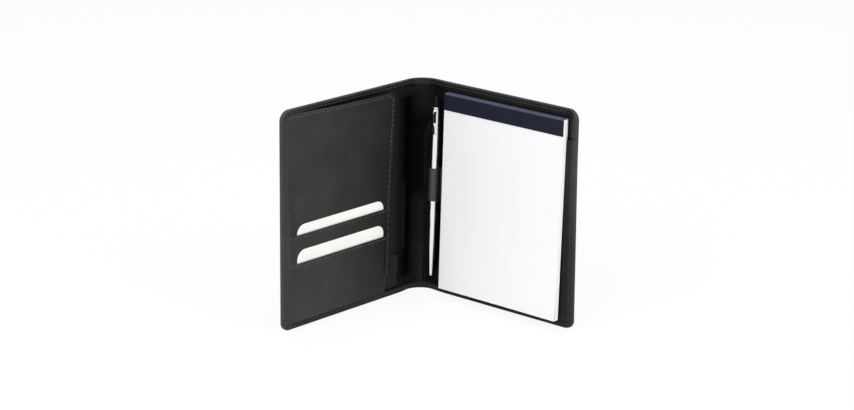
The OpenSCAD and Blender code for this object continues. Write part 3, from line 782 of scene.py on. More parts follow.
def hem_rise(places, s, z):
    """How far the hem of an upright edge is lifted by the pocket that it is sewn over."""
    pockets = places.notebook.pockets
    layers = -2 * ramp(z, FOOT_STEP[1], FOOT_STEP[0])
    for slot in (pockets.upper_slot, pockets.lower_slot):
        layers = layers + ramp(z, slot + 1 * MM, slot - 1 * MM)
    sewn = SEWN + TIER * layers
    left = pocket_layer(places, places.on_cover(s), z, sewn, sewn)
    left = left * ramp(z, pockets.top, pockets.top - 2 * MM)
    right = pad_pocket_back(places, np.abs(s), z)
    right = right * ramp(z, pockets.pad_top + 2.5 * MM, pockets.pad_top - 0.5 * MM)
    return np.maximum(np.where(s < 0, left, right) + pockets.panel_t + PRESSED - HEM_FACE, 0.0)


def case_place(places, s, z, inset, n):
    """A point of the case's leather, with its hem drawn into pleats at the corners."""
    case = places.notebook.case
    mouth = places.notebook.pockets.pad_top
    arc, reach = places.arc, places.reach
    side = np.abs(s) - (reach - case.corner_r)
    low = np.minimum(z, case.height - z) - case.corner_r
    turned = np.where((side > 0) & (low < 0), np.arctan2(side, -low), 0.0)
    upright = np.where(side > 0, np.where(low < 0, np.sin(turned) ** 2, 1.0), 0.0)
    hem = (n > HEM_FRONT) & (inset > EDGE_ROUND)
    inner = n > HEM_BACK
    groove = (0.5 - 0.5 * np.cos(4 * PLEATS * turned)) ** 3
    depth = PLEAT_DEPTH * groove * ease(inset, EDGE_ROUND, 2.2 * MM)
    ripple = RIPPLE * (np.sin(s / RIPPLE_S) + np.sin(z / RIPPLE_Z + 1.0))
    wide = HEM_SPARE * ease(inset, 4.1 * MM, 5 * MM) * inner
    spare = SIDE_SPARE * ease(inset, 0.8 * MM, 2.4 * MM) * inner * upright
    trim = TOP_TRIM * ease(inset, 3.0 * MM, 4.3 * MM) * inner * ease(-s, arc - 2 * MM, arc + 8 * MM)
    beside = 0.5 * wide * ease(z, mouth - 2 * MM, mouth + 3 * MM) * (s > reach - NEAR_EDGE)
    above = (wide * ease(s, arc + 2 * MM, arc + 14 * MM) - trim) * (z > case.height - NEAR_EDGE)
    s = s - np.sign(s) * spare - beside
    z = z - above
    raised = hem_rise(places, s, z) * upright * ease(inset, 0.45 * MM, 1.7 * MM)
    dent = MOUTH_DENT * np.exp(-(((z - mouth - MOUTH_DENT_Z) / MOUTH_DENT_W) ** 2)) * upright * (s > 0)
    dent = dent * ease(inset, EDGE_ROUND, 1.2 * MM)
    n = n + np.where(hem, ripple - depth + raised - dent, 0.0)
    s = s + FLARE * ramp(z, FLARE_TOP, 0.0) * ease(s, reach - 7 * MM, reach - 1 * MM)
    thin = case.spine_edge_t / case.edge_t
    n = n * (thin + (1 - thin) * ease(np.abs(s), arc - 7 * MM, arc + 10 * MM))
    return places.case(s, n, z)


def case_painted_light(places, s, z):
    """Share of painted light on the case: along both upright edges, most on the left."""
    from_edge = places.reach - np.abs(s)
    left = (0.42 - 0.1 * ease(z, 100 * MM, 140 * MM)) * ease(from_edge, 14 * MM, 3 * MM)
    right = (0.15 + 0.3 * ease(z, 40 * MM, 120 * MM)) * ease(from_edge, 4.5 * MM, 1.2 * MM)
    return np.where(s < 0, left, right)


def case_columns(places, deep):
    """Places along the case, close together round the spine and over the folds."""
    near = places.arc + 9 * MM
    wide = spaced(near, places.reach - deep, 4 * MM)
    return joined(-wide[::-1], spaced(-near, near, 0.9 * MM), 0.0, wide)


def painted_lining_light(places, s, z):
    """Painted light and shade on the lining: how open to the light it lies, most beside the pocket, at its head
    and at its foot, with a painted glint beside the left fold, and painted shade where it is shut in at the
    left fold. Places and heights are in millimetres."""
    x, up = s / MM, z / MM
    beside = 0.97 * ramp(-x, 13, 28) ** 1.6
    glint = 0.4 * np.exp(-(((x + 16.6) / 2.2) ** 2)) * ease(up, 87, 82) * ease(up, 30, 38)
    low = 0.5 * ease(up, 80, 66) + 0.4 * ease(up, 45, 28)
    spine = (0.13 + low + 0.35 * ease(up, 130, 142)) * ramp(x, -11, 0)
    ends = 0.7 * np.maximum(ease(up, 145, 155), ease(up, 16, 6))
    left = np.maximum(beside + glint + spine, ends)
    return left + (0.28 - left) * ease(s, 4 * MM, places.arc)


class NOTEBOOK_OT_case(bpy.types.Operator):
    """Make the case's leather, with turned and pleated edges, and its lining"""

    bl_idname = "notebook.case"
    bl_label = "Case"

    def execute(self, context):
        places = Places(context.scene.notebook)
        case = places.notebook.case
        mouth = places.notebook.pockets.pad_top
        rows = joined(
            spaced(case.corner_r, case.height - case.corner_r, 3 * MM),
            spaced(mouth - 4 * MM, mouth + 4 * MM, 0.5 * MM),
        )
        whole = sheet(
            "case_leather",
            (-places.reach, places.reach, 0.0, case.height),
            (case.lower_r, case.lower_r, case.upper_r, case.upper_r),
            [(inset * MM, n * MM) for inset, n in CASE_EDGE],
            shares(case_columns(places, case.corner_r)),
            shares(rows),
            lambda s, z, inset, n: case_place(places, s, z, inset, n),
            steps=PLEAT_STEPS,
            worn=lambda points, s, z: case_painted_light(places, s, z),
        )
        bent_halves(places, whole, "smooth_cowhide", "cover_leather", "spine_leather")
        self.line_case(places, case)
        for node in ("left_board", "right_board"):
            dress_node(node, "grey_board")
        return {"FINISHED"}

    def line_case(self, places, case):
        """The lining over both covers and the spine, with a soft roll at each fold."""
        edge = case.tuck + 0.1 * MM
        radius = case.corner_r - edge

        def place(s, z, inset, layer):
            front = places.depth(s, case.lining_n, case.spine_lining_n)
            roll = 0.35 * MM * np.exp(-(((np.abs(s) - places.arc - 1 * MM) / (2.6 * MM)) ** 2))
            roll = roll * ramp(z, 6 * MM, 14 * MM) * ramp(case.height - z, 6 * MM, 14 * MM)
            return places.case(s, front + roll - (1 - layer) * case.lining_t, z)

        whole = sheet(
            "case_lining",
            (-places.reach + edge, places.reach - edge, edge, case.height - edge),
            radius,
            rings_of(CUT_EDGE, radius),
            shares(case_columns(places, case.corner_r)),
            shares(spaced(0, case.height, 5 * MM)),
            place,
            # Painted light and shade for the lining, kept as its light attribute
            light=lambda points, s, z: painted_lining_light(places, s, z),
        )
        halves = bent_halves(places, whole, "satin_lining", "lining", "spine_lining")


# Document pocket: how far its layers lie from each other, and where they part
FLUSH = 0.85 * MM
SEWN = 0.45 * MM
TIER = 0.75 * MM
UPPER_SPARE = 0.5 * MM
LOWER_APART = 2.95 * MM
FOOT_STEP = (16.2 * MM, 17.7 * MM)
UPPER_FOOT = (22.2 * MM, 23.2 * MM)
LOWER_FOOT = (5 * MM, 5.5 * MM)
SEAM_W = 4.2 * MM
STRIP_W = 2 * MM
HEM_LAP = 3.5 * MM
MOUTH_PULL = 45 * MM
MOUTH_PULL_Z = (78 * MM, 125 * MM)
SLIGHT_R = 0.5 * MM
UNDER_SLOT = 1.2 * MM
CLOTH_T = 0.4 * MM


def pocket_layer(places, u, z, sewn, apart, flush=FLUSH):
    """Depth of the back of a layer of the document pocket: sewn to its neighbours at both side seams,
    and apart from them between, where the cards are."""
    pockets = places.notebook.pockets
    hem_u = places.hem_u
    hem_w = places.notebook.case.hem_w
    strip_u = pockets.inner_u + STRIP_W
    across = ramp(u, hem_u, pockets.inner_u)
    up = ramp(z, hem_w, pockets.top)
    close = (1 - pockets.sewn_lift) * ramp(z, pockets.twist_z, pockets.top)
    stand = ease(u, hem_u + HEM_LAP, hem_u - SEAM_W - MOUTH_PULL * ease(z, *MOUTH_PULL_Z))
    lift = stand * pockets.lift * up * (1 - close * (1 - across))
    between = ease(u, strip_u, strip_u + SEAM_W)
    level = flush * ease(z, hem_w, hem_w + 0.7 * MM) * (1 - stand)
    return pockets.base_n + level + lift + stand * (sewn + (apart - sewn) * between)


def panel_back(places, u, z):
    """Back of the document pocket's panel."""
    return pocket_layer(places, u, z, SEWN, SEWN)


def band_back(places, u, z):
    """Back of the band that holds the upper card."""
    sewn = SEWN + TIER
    return pocket_layer(places, u, z, sewn, sewn + UPPER_SPARE * ramp(z, *UPPER_FOOT))


def lower_back(places, u, z):
    """Back of the lowest layer, which holds the lower card."""
    off = ramp(z, *LOWER_FOOT)
    sewn = (SEWN + 2 * TIER * ramp(z, *FOOT_STEP)) * off
    return pocket_layer(places, u, z, sewn, np.maximum(sewn, LOWER_APART * off))


def backing_back(places, u, z):
    """Back of the cloth that lines the document pocket."""
    return pocket_layer(places, u, z, 0.0, 0.0, flush=0.0)


def pocket_painted_light(pockets, u, z):
    """Share of painted light on the document pocket: most by the outer edge, low down, and none by the spine,
    where it is left in painted shade.
    """
    outwards = ramp(u, pockets.inner_u + 6 * MM, pockets.inner_u + 70 * MM)
    return 0.42 * outwards * (0.7 + 0.3 * ease(z, pockets.upper_slot, 10 * MM))


class NOTEBOOK_OT_document_pocket(bpy.types.Operator):
    """Make the document pocket with its two card slots, its lining and its woven label"""

    bl_idname = "notebook.document_pocket"
    bl_label = "Document pocket"

    def execute(self, context):
        places = Places(context.scene.notebook)
        pockets = places.notebook.pockets
        case = places.notebook.case
        slight = (SLIGHT_R,) * 4
        mouth_r = (SLIGHT_R, SLIGHT_R, case.corner_r, pockets.corner_r)
        foot_r = (SLIGHT_R, case.corner_r - case.tuck, SLIGHT_R, SLIGHT_R)
        foot, upper, lower, mouth = pockets.foot, pockets.upper_slot, pockets.lower_slot, pockets.top
        upper_hidden, lower_hidden = upper - UNDER_SLOT, lower - UNDER_SLOT
        for name, node, back, low, top, radii, hidden_below in (
            ("document_pocket", "document_pocket_panel", panel_back, foot, mouth, mouth_r, upper_hidden),
            ("card_band", "card_pocket_band", band_back, foot, upper, slight, lower_hidden),
            ("lower_card", "card_pocket_lower", lower_back, case.tuck, lower, foot_r, 0.0),
        ):
            mesh = self.layer(places, f"{name}_leather", back, low, top, radii, hidden_below)
            carried(mesh, "pocket_cowhide", "inner_leather", "left_cover", node)
        self.back_cloth(places, pockets)
        self.label(places, pockets)
        return {"FINISHED"}

    def layer(self, places, name, back, low, top, radii, hidden_below):
        """One leather layer of the pocket; below hidden_below it stays clear of the hem."""
        pockets = places.notebook.pockets
        outer_u = places.notebook.case.cover_w - places.notebook.case.tuck
        seam_u = places.hem_u - SEAM_W - 1 * MM
        deep = max(TURNED_W, *radii)
        near_u, far_u = pockets.inner_u + 12 * MM, 124 * MM
        columns = joined(
            spaced(pockets.inner_u, near_u, 1 * MM),
            spaced(near_u, far_u, 4 * MM),
            spaced(far_u, outer_u, 0.8 * MM),
        )
        rows = joined(spaced(low, top, 3.5 * MM), hidden_below, hidden_below + 0.1 * MM)
        rows = rows[(rows >= low) & (rows <= top)]

        def place(u, z, inset, layer):
            u = np.where(z < hidden_below, np.minimum(u, seam_u + 0.02 * (u - seam_u)), u)
            return places.cover(LEFT, u, back(places, u, z) + layer * pockets.panel_t, z)

        return sheet(
            name,
            (pockets.inner_u, outer_u, low, top),
            radii,
            rings_of(TURNED_EDGE, deep),
            shares(columns, deep),
            shares(rows, deep),
            place,
            worn=lambda points, u, z: pocket_painted_light(pockets, u, z),
        )

    def back_cloth(self, places, pockets):
        """The cloth behind the document panel."""
        low_u, high_u = pockets.inner_u + 1 * MM, places.hem_u - SEAM_W - 0.1 * MM
        low, top = 5.5 * MM, pockets.top - 1 * MM
        far_u = 120 * MM
        deep = pockets.corner_r
        mesh = sheet(
            "pocket_back_cloth",
            (low_u, high_u, low, top),
            (SLIGHT_R, SLIGHT_R, SLIGHT_R, pockets.corner_r),
            rings_of(CUT_EDGE, deep),
            shares(joined(spaced(low_u, far_u, 3 * MM), spaced(far_u, high_u, 0.8 * MM)), deep),
            shares(spaced(low, top, 3 * MM), deep),
            lambda u, z, inset, t: places.cover(LEFT, u, backing_back(places, u, z) + t * CLOTH_T, z),
        )
        made = carried(mesh, "satin_lining", "lining_cloth", "left_cover", "pocket_backing")

    def label(self, places, pockets):
        """The bare woven label, sewn in under the pocket's inner edge."""
        low_u, high_u = pockets.inner_u - pockets.label_w, pockets.inner_u + 0.8 * MM
        low, top = pockets.label_z, pockets.label_z + pockets.label_h

        def place(u, z, inset, t):
            curl = 1.3 * MM * ease(u, low_u + 6 * MM, low_u) * ease(z, low, top)
            return places.cover(LEFT, u, pockets.base_n + 0.05 * MM + curl + t * pockets.label_t, z)

        mesh = sheet(
            "woven_label",
            (low_u, high_u, low, top),
            0.4 * MM,
            rings_of(CUT_EDGE, 0.5 * MM),
            shares(spaced(low_u, high_u, 0.8 * MM)),
            shares(spaced(low, top, 1.5 * MM)),
            place,
        )
        carried(mesh, "woven_label", "label_weave", "left_cover", "label_tab")


class NOTEBOOK_OT_cards(bpy.types.Operator):
    """Make the two bare cards in their slots"""

    bl_idname = "notebook.cards"
    bl_label = "Cards"

    def execute(self, context):
        places = Places(context.scene.notebook)
        cards = places.notebook.cards
        corner = cards.corner_r
        rows = (("upper", cards.upper_off, cards.upper_z), ("lower", cards.lower_off, cards.lower_z))
        for word, off, foot in rows:
            mesh = sheet(
                f"{word}_business_card",
                (0.0, cards.width, 0.0, cards.height),
                (0.3 * MM, 0.3 * MM, corner, corner),
                rings_of(CUT_EDGE, corner),
                shares(spaced(0, cards.width, 8 * MM), corner),
                shares(spaced(0, cards.height, 8 * MM), corner),
                lambda a, b, inset, t: places.card(off, foot, a, b, t * cards.thickness),
                steps=14,
            )
            carried(mesh, "business_card", "card_stock", f"{word}_card", f"{word}_card")
        return {"FINISHED"}


# Right cover: gaps beside the pad, the lap over the spine, and the loop's turn and inner end
PAD_SIDE_GAP = 1.2 * MM
PAD_OUTER_GAP = 0.2 * MM
SPINE_LAP_N = 1.45 * MM
SPINE_FREE_Z = 5.2 * MM
PAD_FOLD_BEFORE = 2.5 * MM
LOOP_END = ((3.7 * MM, -3.15 * MM), (4.8 * MM, -3.18 * MM))
LOOP_TURN = math.radians(318)
# Turn round the loop at which a highlight is painted down its middle
LOOP_HIGHLIGHT_TURN = math.radians(215)


def pad_pocket_back(places, s, z):
    """Depth of the back of the pad pocket's leather."""
    pockets = places.notebook.pockets
    pad = places.notebook.pad
    u = places.on_cover(s)
    rise = pad.place_u - PAD_SIDE_GAP
    above = z - places.notebook.case.hem_w
    climb = 0.35 * ease(above, 0.0, 0.4 * MM) + 0.65 * ease(above, 0.2 * MM, 0.95 * MM)
    flush = FLUSH / (pockets.pad_n - pockets.base_n)
    outer = pad.place_u + pad.width + PAD_OUTER_GAP
    slope = flush + (1 - flush) * ease(u, places.hem_u + HEM_LAP, outer)
    lift = np.minimum(np.minimum(ease(u, rise, rise + 0.9 * MM), climb), slope)
    return places.depth(s, pockets.base_n, SPINE_LAP_N) + (pockets.pad_n - pockets.base_n) * lift


class NOTEBOOK_OT_pad_pocket(bpy.types.Operator):
    """Make the pad pocket, whose leather laps onto the spine, and the pen loop"""

    bl_idname = "notebook.pad_pocket"
    bl_label = "Pad pocket and pen loop"

    def execute(self, context):
        places = Places(context.scene.notebook)
        pockets = places.notebook.pockets
        case = places.notebook.case
        corner = pockets.pad_corner_r
        low_s = places.arc - pockets.lap
        high_s = places.along(case.cover_w - case.tuck)
        near_s, far_s, foot = places.arc + 14 * MM, high_s - 8 * MM, 14 * MM
        columns = joined(
            spaced(low_s, near_s, 0.9 * MM),
            spaced(near_s, far_s, 3 * MM),
            spaced(far_s, high_s, 0.5 * MM),
        )
        rows = joined(spaced(case.tuck, foot, 0.8 * MM), spaced(foot, pockets.pad_top, 4 * MM))

        def place(s, z, inset, t):
            on_cover = ease(s, places.arc - 1 * MM, places.arc + 4 * MM)
            z = np.maximum(z, SPINE_FREE_Z - (SPINE_FREE_Z - case.tuck) * on_cover)
            return places.case(s, pad_pocket_back(places, s, z) + t * pockets.panel_t, z)

        mesh = sheet(
            "pad_pocket_leather",
            (low_s, high_s, case.tuck, pockets.pad_top),
            (SLIGHT_R, case.corner_r - case.tuck, SLIGHT_R, corner),
            rings_of(TURNED_EDGE, corner),
            shares(columns, corner),
            shares(rows, corner),
            place,
            steps=24,
            # Painted light on the pad pocket, rising towards its outer edge, with painted shade nearer the pen
            # and the pad
            worn=lambda points, s, z: 0.3 * ease(s, places.arc + 40 * MM, high_s),
        )
        # The pad pocket wears the darker copy of the cowhide, as painted shade
        made = piece(mesh, "shaded_cowhide")
        bend(places, made, RIGHT, before=PAD_FOLD_BEFORE)
        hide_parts("pad_pocket_panel", "pocket_edge_strip")
        self.loop(places)
        return {"FINISHED"}

    def loop(self, places):
        """A strap that goes round the pen and is sewn down at its tail."""
        pen = places.notebook.pen
        radius = pen.loop_r - pen.loop_t / 2
        tail = pen.loop_tail - 0.2 * MM
        start = 0.4 * MM
        turn = np.linspace(-math.pi / 2, -math.pi / 2 - LOOP_TURN, 60)
        path = np.concatenate(
            [
                np.stack([np.linspace(tail, start, 12), np.full(12, -radius)], 1),
                np.stack([radius * np.cos(turn), radius * np.sin(turn)], 1),
                LOOP_END,
            ]
        )
        run, beside = follow(path)

        def place(x, y, inset, t):
            return places.pen(*beside(x, (t - 0.5) * pen.loop_t), pen.below + y)

        # Painted light on the loop: a highlight down the middle of its front, little on its flanks, and much on
        # its tail
        def worn(points, x, y):
            turned = (x - tail + start) / radius
            return np.where(turned < 0, 0.8, 0.1 + 0.8 * np.exp(-(((turned - LOOP_HIGHLIGHT_TURN) / 0.65) ** 2)))

        mesh = sheet(
            "pen_loop_leather",
            (0.0, run[-1], -pen.loop_h / 2, pen.loop_h / 2),
            0.3 * MM,
            rings_of(TURNED_EDGE, TURNED_W),
            shares(spaced(0, run[-1], 0.45 * MM), TURNED_W),
            shares(spaced(0, pen.loop_h, 2 * MM), TURNED_W),
            place,
            worn=worn,
        )
        carried(mesh, "pocket_cowhide", "inner_leather", "right_cover", "pen_loop")


# Pad: corners and edges of its sheets, the leaves that show at its sides, and its binding strip
PAPER_R = 0.2 * MM
CARD_R = 0.3 * MM
CUT_DEEP = 0.4 * MM
LEAVES = 14
LEAF_STEPS = (0.12, 0.5, 0.88)
LEAF_GROOVE = 0.05 * MM
UNEVEN_LEAF = 0.09
STRIP_GAP = 0.02 * MM
STRIP_BEND_R = 0.8 * MM
PAGE_GAP = 0.1 * MM


class NOTEBOOK_OT_pad(bpy.types.Operator):
    """Make the writing pad: its card, sheets, binding strip and top sheet"""

    bl_idname = "notebook.pad"
    bl_label = "Writing pad"

    def execute(self, context):
        places = Places(context.scene.notebook)
        pad = places.notebook.pad
        across = shares(spaced(0, pad.width, 7 * MM))
        up = shares(spaced(0, pad.height, 7 * MM))

        def place(a, z, inset, t):
            return places.cover(RIGHT, pad.place_u + a, pad.card_n + t * pad.card_t, z)

        box = (0.0, pad.width, pad.top - pad.height, pad.top)
        card = sheet("pad_card", box, CARD_R, rings_of(CUT_EDGE, CUT_DEEP), across, up, place)
        carried(card, "grey_board", "grey_board", "pad", "pad_backing_card")
        self.sheets(places, pad, across)
        self.strip(places, pad, across)
        self.top_sheet(places, pad, across, up)
        dress_node("pad_glue", "padding_glue")
        return {"FINISHED"}

    def sheets(self, places, pad, across):
        """The block of sheets, whose cut sides show its leaves as fine uneven ridges."""
        uneven = np.random.default_rng(SEED).uniform(0.0, UNEVEN_LEAF, LEAVES) * MM
        stack = pad.sheets_t - pad.page_t - 0.05 * MM
        rings = [(CUT_DEEP, 1.0)]
        for leaf in range(LEAVES):
            for part in LEAF_STEPS:
                groove = 0.0 if part == LEAF_STEPS[1] else LEAF_GROOVE
                rings.append((uneven[leaf] + groove, 1 - (leaf + part) / LEAVES))
        rings.append((CUT_DEEP, 0.0))

        def place(a, z, inset, t):
            return places.pad(a, t * np.where(z > -pad.strip_w, pad.sheets_t, stack), z)

        low = pad.foot_trim - pad.height
        rows = joined(spaced(low, 0, 7 * MM), -pad.strip_w, -pad.strip_w - PAGE_GAP)
        mesh = sheet("pad_paper", (0.0, pad.width, low, 0.0), PAPER_R, rings, across, shares(rows), place)
        carried(mesh, "bond_paper", "writing_paper", "pad", "pad_sheets")

    def strip(self, places, pad, across):
        """The tape that binds the sheets: down their front, over their top and onto their card."""
        front = pad.sheets_t + STRIP_GAP
        over = front - STRIP_BEND_R
        card = pad.card_n - pad.sheets_n
        turn = np.linspace(0, math.pi / 2, 7)[1:]
        path = np.concatenate(
            [
                np.stack([np.full(6, front), np.linspace(-pad.strip_w, -STRIP_BEND_R, 6)], 1),
                np.stack([over + STRIP_BEND_R * np.cos(turn), STRIP_BEND_R * (np.sin(turn) - 1)], 1),
                np.stack([np.linspace(over, card, 6), np.zeros(6)], 1)[1:],
            ]
        )
        path[:, 1] += STRIP_GAP
        run, beside = follow(path)
        mesh = sheet(
            "pad_tape",
            (0.0, pad.width, 0.0, run[-1]),
            PAPER_R,
            rings_of(CUT_EDGE, CUT_DEEP),
            across,
            shares(joined(run)),
            lambda a, x, inset, t: places.pad(a, *beside(x, t * pad.strip_t)),
            fold=lambda points, a, x: ease(points[:, 2], pad.top - 0.7 * MM, pad.top - 0.1 * MM),
        )
        carried(mesh, "crepe_tape", "navy_tape", "pad", "pad_binding_strip")

    def top_sheet(self, places, pad, across, up):
        """The sheet that turns over, with a little curl at its free corner."""
        low, high = pad.foot_trim - pad.height, -pad.strip_w - PAGE_GAP

        def place(a, z, inset, t):
            curl = 0.6 * MM * ease(z, low + 30 * MM, low) * ease(a, 0.5 * pad.width, pad.width)
            return places.pad(a, pad.sheets_t - pad.page_t + curl + t * pad.page_t, z)

        box = (0.0, pad.width, low, high)
        mesh = sheet("top_sheet", box, PAPER_R, rings_of(CUT_EDGE, CUT_DEEP), across, up, place)
        carried(mesh, "bond_paper", "writing_paper", "page", "pad_top_sheet")


# Pen: radii and heights from its writing end, in millimetres
PEN_WALL = 1.24
POINT_R = 0.65
POINT_C = 3.0
TIP_L = 1.5
CONE_C = 1.7
CONE_STEP = 0.25
REFILL_R = 1.65
REFILL_C = 15.0
SPRING_C = 20.0
SPRING_L = 14.0
JOINT_C = 70.5
SLEEVE_L = 8.5
TAPER_C = 100.0
COLLAR_C = 110.0
STOP_C = 114.0
RUN_GAP = 0.05
RING_L = 0.8
RING_STEP = 0.3
SEAL_L = 0.45


class NOTEBOOK_OT_pen(bpy.types.Operator):
    """Make the pen: its plated barrels, ring and clip, and its plunger"""

    bl_idname = "notebook.pen"
    bl_label = "Pen"

    def execute(self, context):
        places = Places(context.scene.notebook)
        pen = places.notebook.pen
        radius, nose_r, top_r = (d / 2 / MM for d in (pen.diameter, pen.nose_d, pen.top_d))
        plunger_r = pen.plunger_d / 2 / MM
        nose_l, pen_l = pen.nose_l / MM, pen.length / MM
        bore, wall = radius - PEN_WALL, radius - PEN_WALL / 2
        top = pen_l - RING_L
        washer = top - SEAL_L
        hole = plunger_r + RUN_GAP
        ring_r, seal_r = top_r + RING_STEP, top_r - 0.1
        cone_r, waist_r = nose_r + CONE_STEP, radius - 0.2
        lower = [(POINT_R, 0.0), (nose_r - 0.1, 0.0), (nose_r, 0.12)]
        lower += [(nose_r + 0.05, TIP_L), (cone_r, CONE_C)]
        for step in np.linspace(0.12, 1, 9):
            lower.append((cone_r + (waist_r - cone_r) * step**0.8, CONE_C + (nose_l - CONE_C) * step))
        lower += [(waist_r, nose_l + 0.3), (radius - 0.08, nose_l + 3.5), (radius, nose_l + 7)]
        lower += [(radius, JOINT_C - 0.25), (radius - 0.12, JOINT_C - RUN_GAP), (wall, JOINT_C - RUN_GAP)]
        lower += [(wall, JOINT_C - SLEEVE_L), (bore, JOINT_C - SLEEVE_L), (bore, SPRING_C)]
        lower += [(REFILL_R, SPRING_C), (REFILL_R, REFILL_C), (POINT_R, POINT_C)]
        upper = [(wall, JOINT_C), (radius - 0.12, JOINT_C), (radius, JOINT_C + 0.2), (radius, TAPER_C)]
        for step in np.linspace(0.2, 1, 5):
            upper.append((radius - (radius - top_r) * step**1.15, TAPER_C + (washer - TAPER_C) * step))
        upper += [(hole, washer), (hole, STOP_C + RUN_GAP), (bore, STOP_C + RUN_GAP)]
        upper += [(bore, JOINT_C + SLEEVE_L), (wall, JOINT_C + SLEEVE_L)]
        band = [(hole, top), (ring_r - 0.15, top), (ring_r, top + 0.2), (ring_r, top + 0.6)]
        band += [(ring_r - 0.2, top + RING_L), (hole, top + RING_L)]
        end = pen_l + pen.plunger_l / MM
        collar = bore - RUN_GAP
        plunger = [(0.0, COLLAR_C), (collar, COLLAR_C), (collar, STOP_C), (plunger_r, STOP_C)]
        plunger += [(plunger_r, end - 0.7), (plunger_r - 0.15, end - 0.25)]
        plunger += [(plunger_r - 0.6, end), (0.0, end)]
        seal = [(hole, washer), (seal_r, washer), (seal_r, top), (hole, top)]
        for name, profile, look, slot, body, *nodes in (
            ("pen_lower_plating", lower, "chrome_plate", "chrome_plate", "pen", "pen_lower_barrel"),
            ("pen_upper_plating", upper, "chrome_plate", "chrome_plate", "pen", "pen_upper_barrel"),
            ("pen_ring_plating", band, "chrome_plate", "chrome_plate", "pen", "pen_top_ring"),
            ("pen_push_button", plunger, "black_abs", "black_plastic", "refill_set", "pen_plunger"),
            ("pen_ring_seal", seal, "black_abs", "black_plastic", "pen"),
        ):
            carried(lathe(name, profile, places.pen), look, slot, body, *nodes)
        self.clip(places, pen, ring_r * MM)
        for node, look in (
            ("pen_joining_sleeve", "turned_brass"),
            ("pen_refill_point", "turned_brass"),
            ("pen_thrust_tube", "black_abs"),
            ("pen_refill", "refill_steel"),
        ):
            dress_node(node, look)
        self.spring(places)
        return {"FINISHED"}

    def spring(self, places):
        """A coil of wire round the refill."""
        turns, steps = 9, 24
        foot, head = SPRING_C * MM, (SPRING_C + SPRING_L) * MM
        wire, coil_r, gap = 0.2 * MM, 1.88 * MM, RUN_GAP * MM
        turn = np.linspace(0, 2 * math.pi * turns, turns * steps + 1)
        turn = np.concatenate([turn[:1], turn, turn[-1:]])[:, None]
        thick = np.full(turn.shape, wire)
        thick[0] = thick[-1] = 0
        around = np.linspace(0, 2 * math.pi, 8, endpoint=False)
        radius = coil_r + thick * np.cos(around)
        rise = (head - foot - 2 * wire - 2 * gap) * turn / turn[-1]
        c = foot + gap + wire + rise + thick * np.sin(around)
        points = places.pen(radius * np.cos(turn), radius * np.sin(turn), c).reshape(-1, 3)
        mesh = make_mesh("pen_spring_coil", points, grid_faces(len(turn), len(around), 0, closed=True))
        made = carried(mesh, "refill_steel", "refill_steel", "pen", "pen_spring")
        low, high = places.pen(0, 0, np.array([foot, head]))
        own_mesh(made)

    def clip(self, places, pen, ring_r):
        """A sprung strip, bent in to the ring at its top, that ends in a black foot, with a painted dark
        reflection laid on its upper face as a thin black strip.
        """
        barrel_r = pen.diameter / 2
        half_w = pen.clip_w / 2
        clip_r, clip_t = barrel_r + 1.3 * MM, 0.7 * MM
        end_r, root_r = 1 * MM, 0.2 * MM
        low, high = pen.length - pen.clip_l, pen.length - 1.35 * MM
        near = high - 4 * MM
        cos, sin = math.cos(pen.clip_turn), math.sin(pen.clip_turn)

        def out(x, r, c):
            return places.pen(r * cos - x * sin, r * sin + x * cos, c)

        def strip(x, c, inset, t):
            inner = clip_r - (clip_r - ring_r) * ease(c, high - 2.6 * MM, high)
            crown = 0.25 * MM * (1 - (x / half_w) ** 2) * t
            cut = ease(c, high - 10.5 * MM, high - 13 * MM)
            return out(x * (1 - 0.5 * cut) - 0.6 * MM * cut, inner + t * clip_t + crown, c)

        plating = sheet(
            "pen_clip_plating",
            (-half_w, half_w, low, high),
            (end_r, end_r, root_r, root_r),
            rings_of(CUT_EDGE, end_r),
            shares(spaced(0, pen.clip_w - 2 * end_r, 0.1 * MM)),
            shares(joined(spaced(low, near, 2 * MM), spaced(near, high, 0.4 * MM)), end_r),
            strip,
        )
        carried(plating, "chrome_plate", "chrome_plate", "pen", "pen_clip")
        # Painted reflection: a thin black strip on the clip's upper face where it shows the dark surroundings
        reflection_w, reflection_r = 0.85 * MM, 0.8 * MM
        clip_reflection = sheet(
            "pen_clip_painted_reflection",
            (-reflection_w, reflection_w, high - 9.4 * MM, high - 0.7 * MM),
            reflection_r,
            rings_of(CUT_EDGE, reflection_r),
            shares(spaced(0, 2 * (reflection_w - reflection_r), 0.02 * MM)),
            shares(spaced(0, 7 * MM, 0.5 * MM)),
            lambda x, c, inset, t: strip(x - 0.3 * MM, c, inset, 1.1 + 0.15 * t),
        )
        carried(clip_reflection, "black_abs", "black_plastic", "pen")
        foot = [(0.0, 0.0), (0.4, 0.02), (0.8, 0.16), (1.03, 0.4), (1.1, 0.7), (1.1, 1.25), (0.0, 1.25)]
        stretch = 3.2

        def bead(a, b, c):
            return out(a + 0.8 * MM, barrel_r + RUN_GAP * MM + c, low + 3.6 * MM + stretch * b)

        carried(lathe("pen_clip_foot", foot, bead, 28), "black_abs", "black_plastic", "pen", "pen_clip_bead")


# Sewing: shares of the pockets' leather to which their thread sinks
SEAM_STEP = 1 * MM
SUNK = 0.92
BAND_SUNK = 0.6
# Depths of the hem's two seams, and how far the inner one is sunk where the pad slides over it
HEM_SEAM_N = 3.7 * MM
BACK_SEAM_N = 0.08 * MM
TOP_SUNK = 0.24 * MM
# Places at which the other seams end
LOOP_SEAM = 6.6 * MM
LOOP_SEAM_IN = 2 * MM
LOWER_SEAM_FOOT = 6 * MM
PAD_SEAM_FOOT = 7 * MM


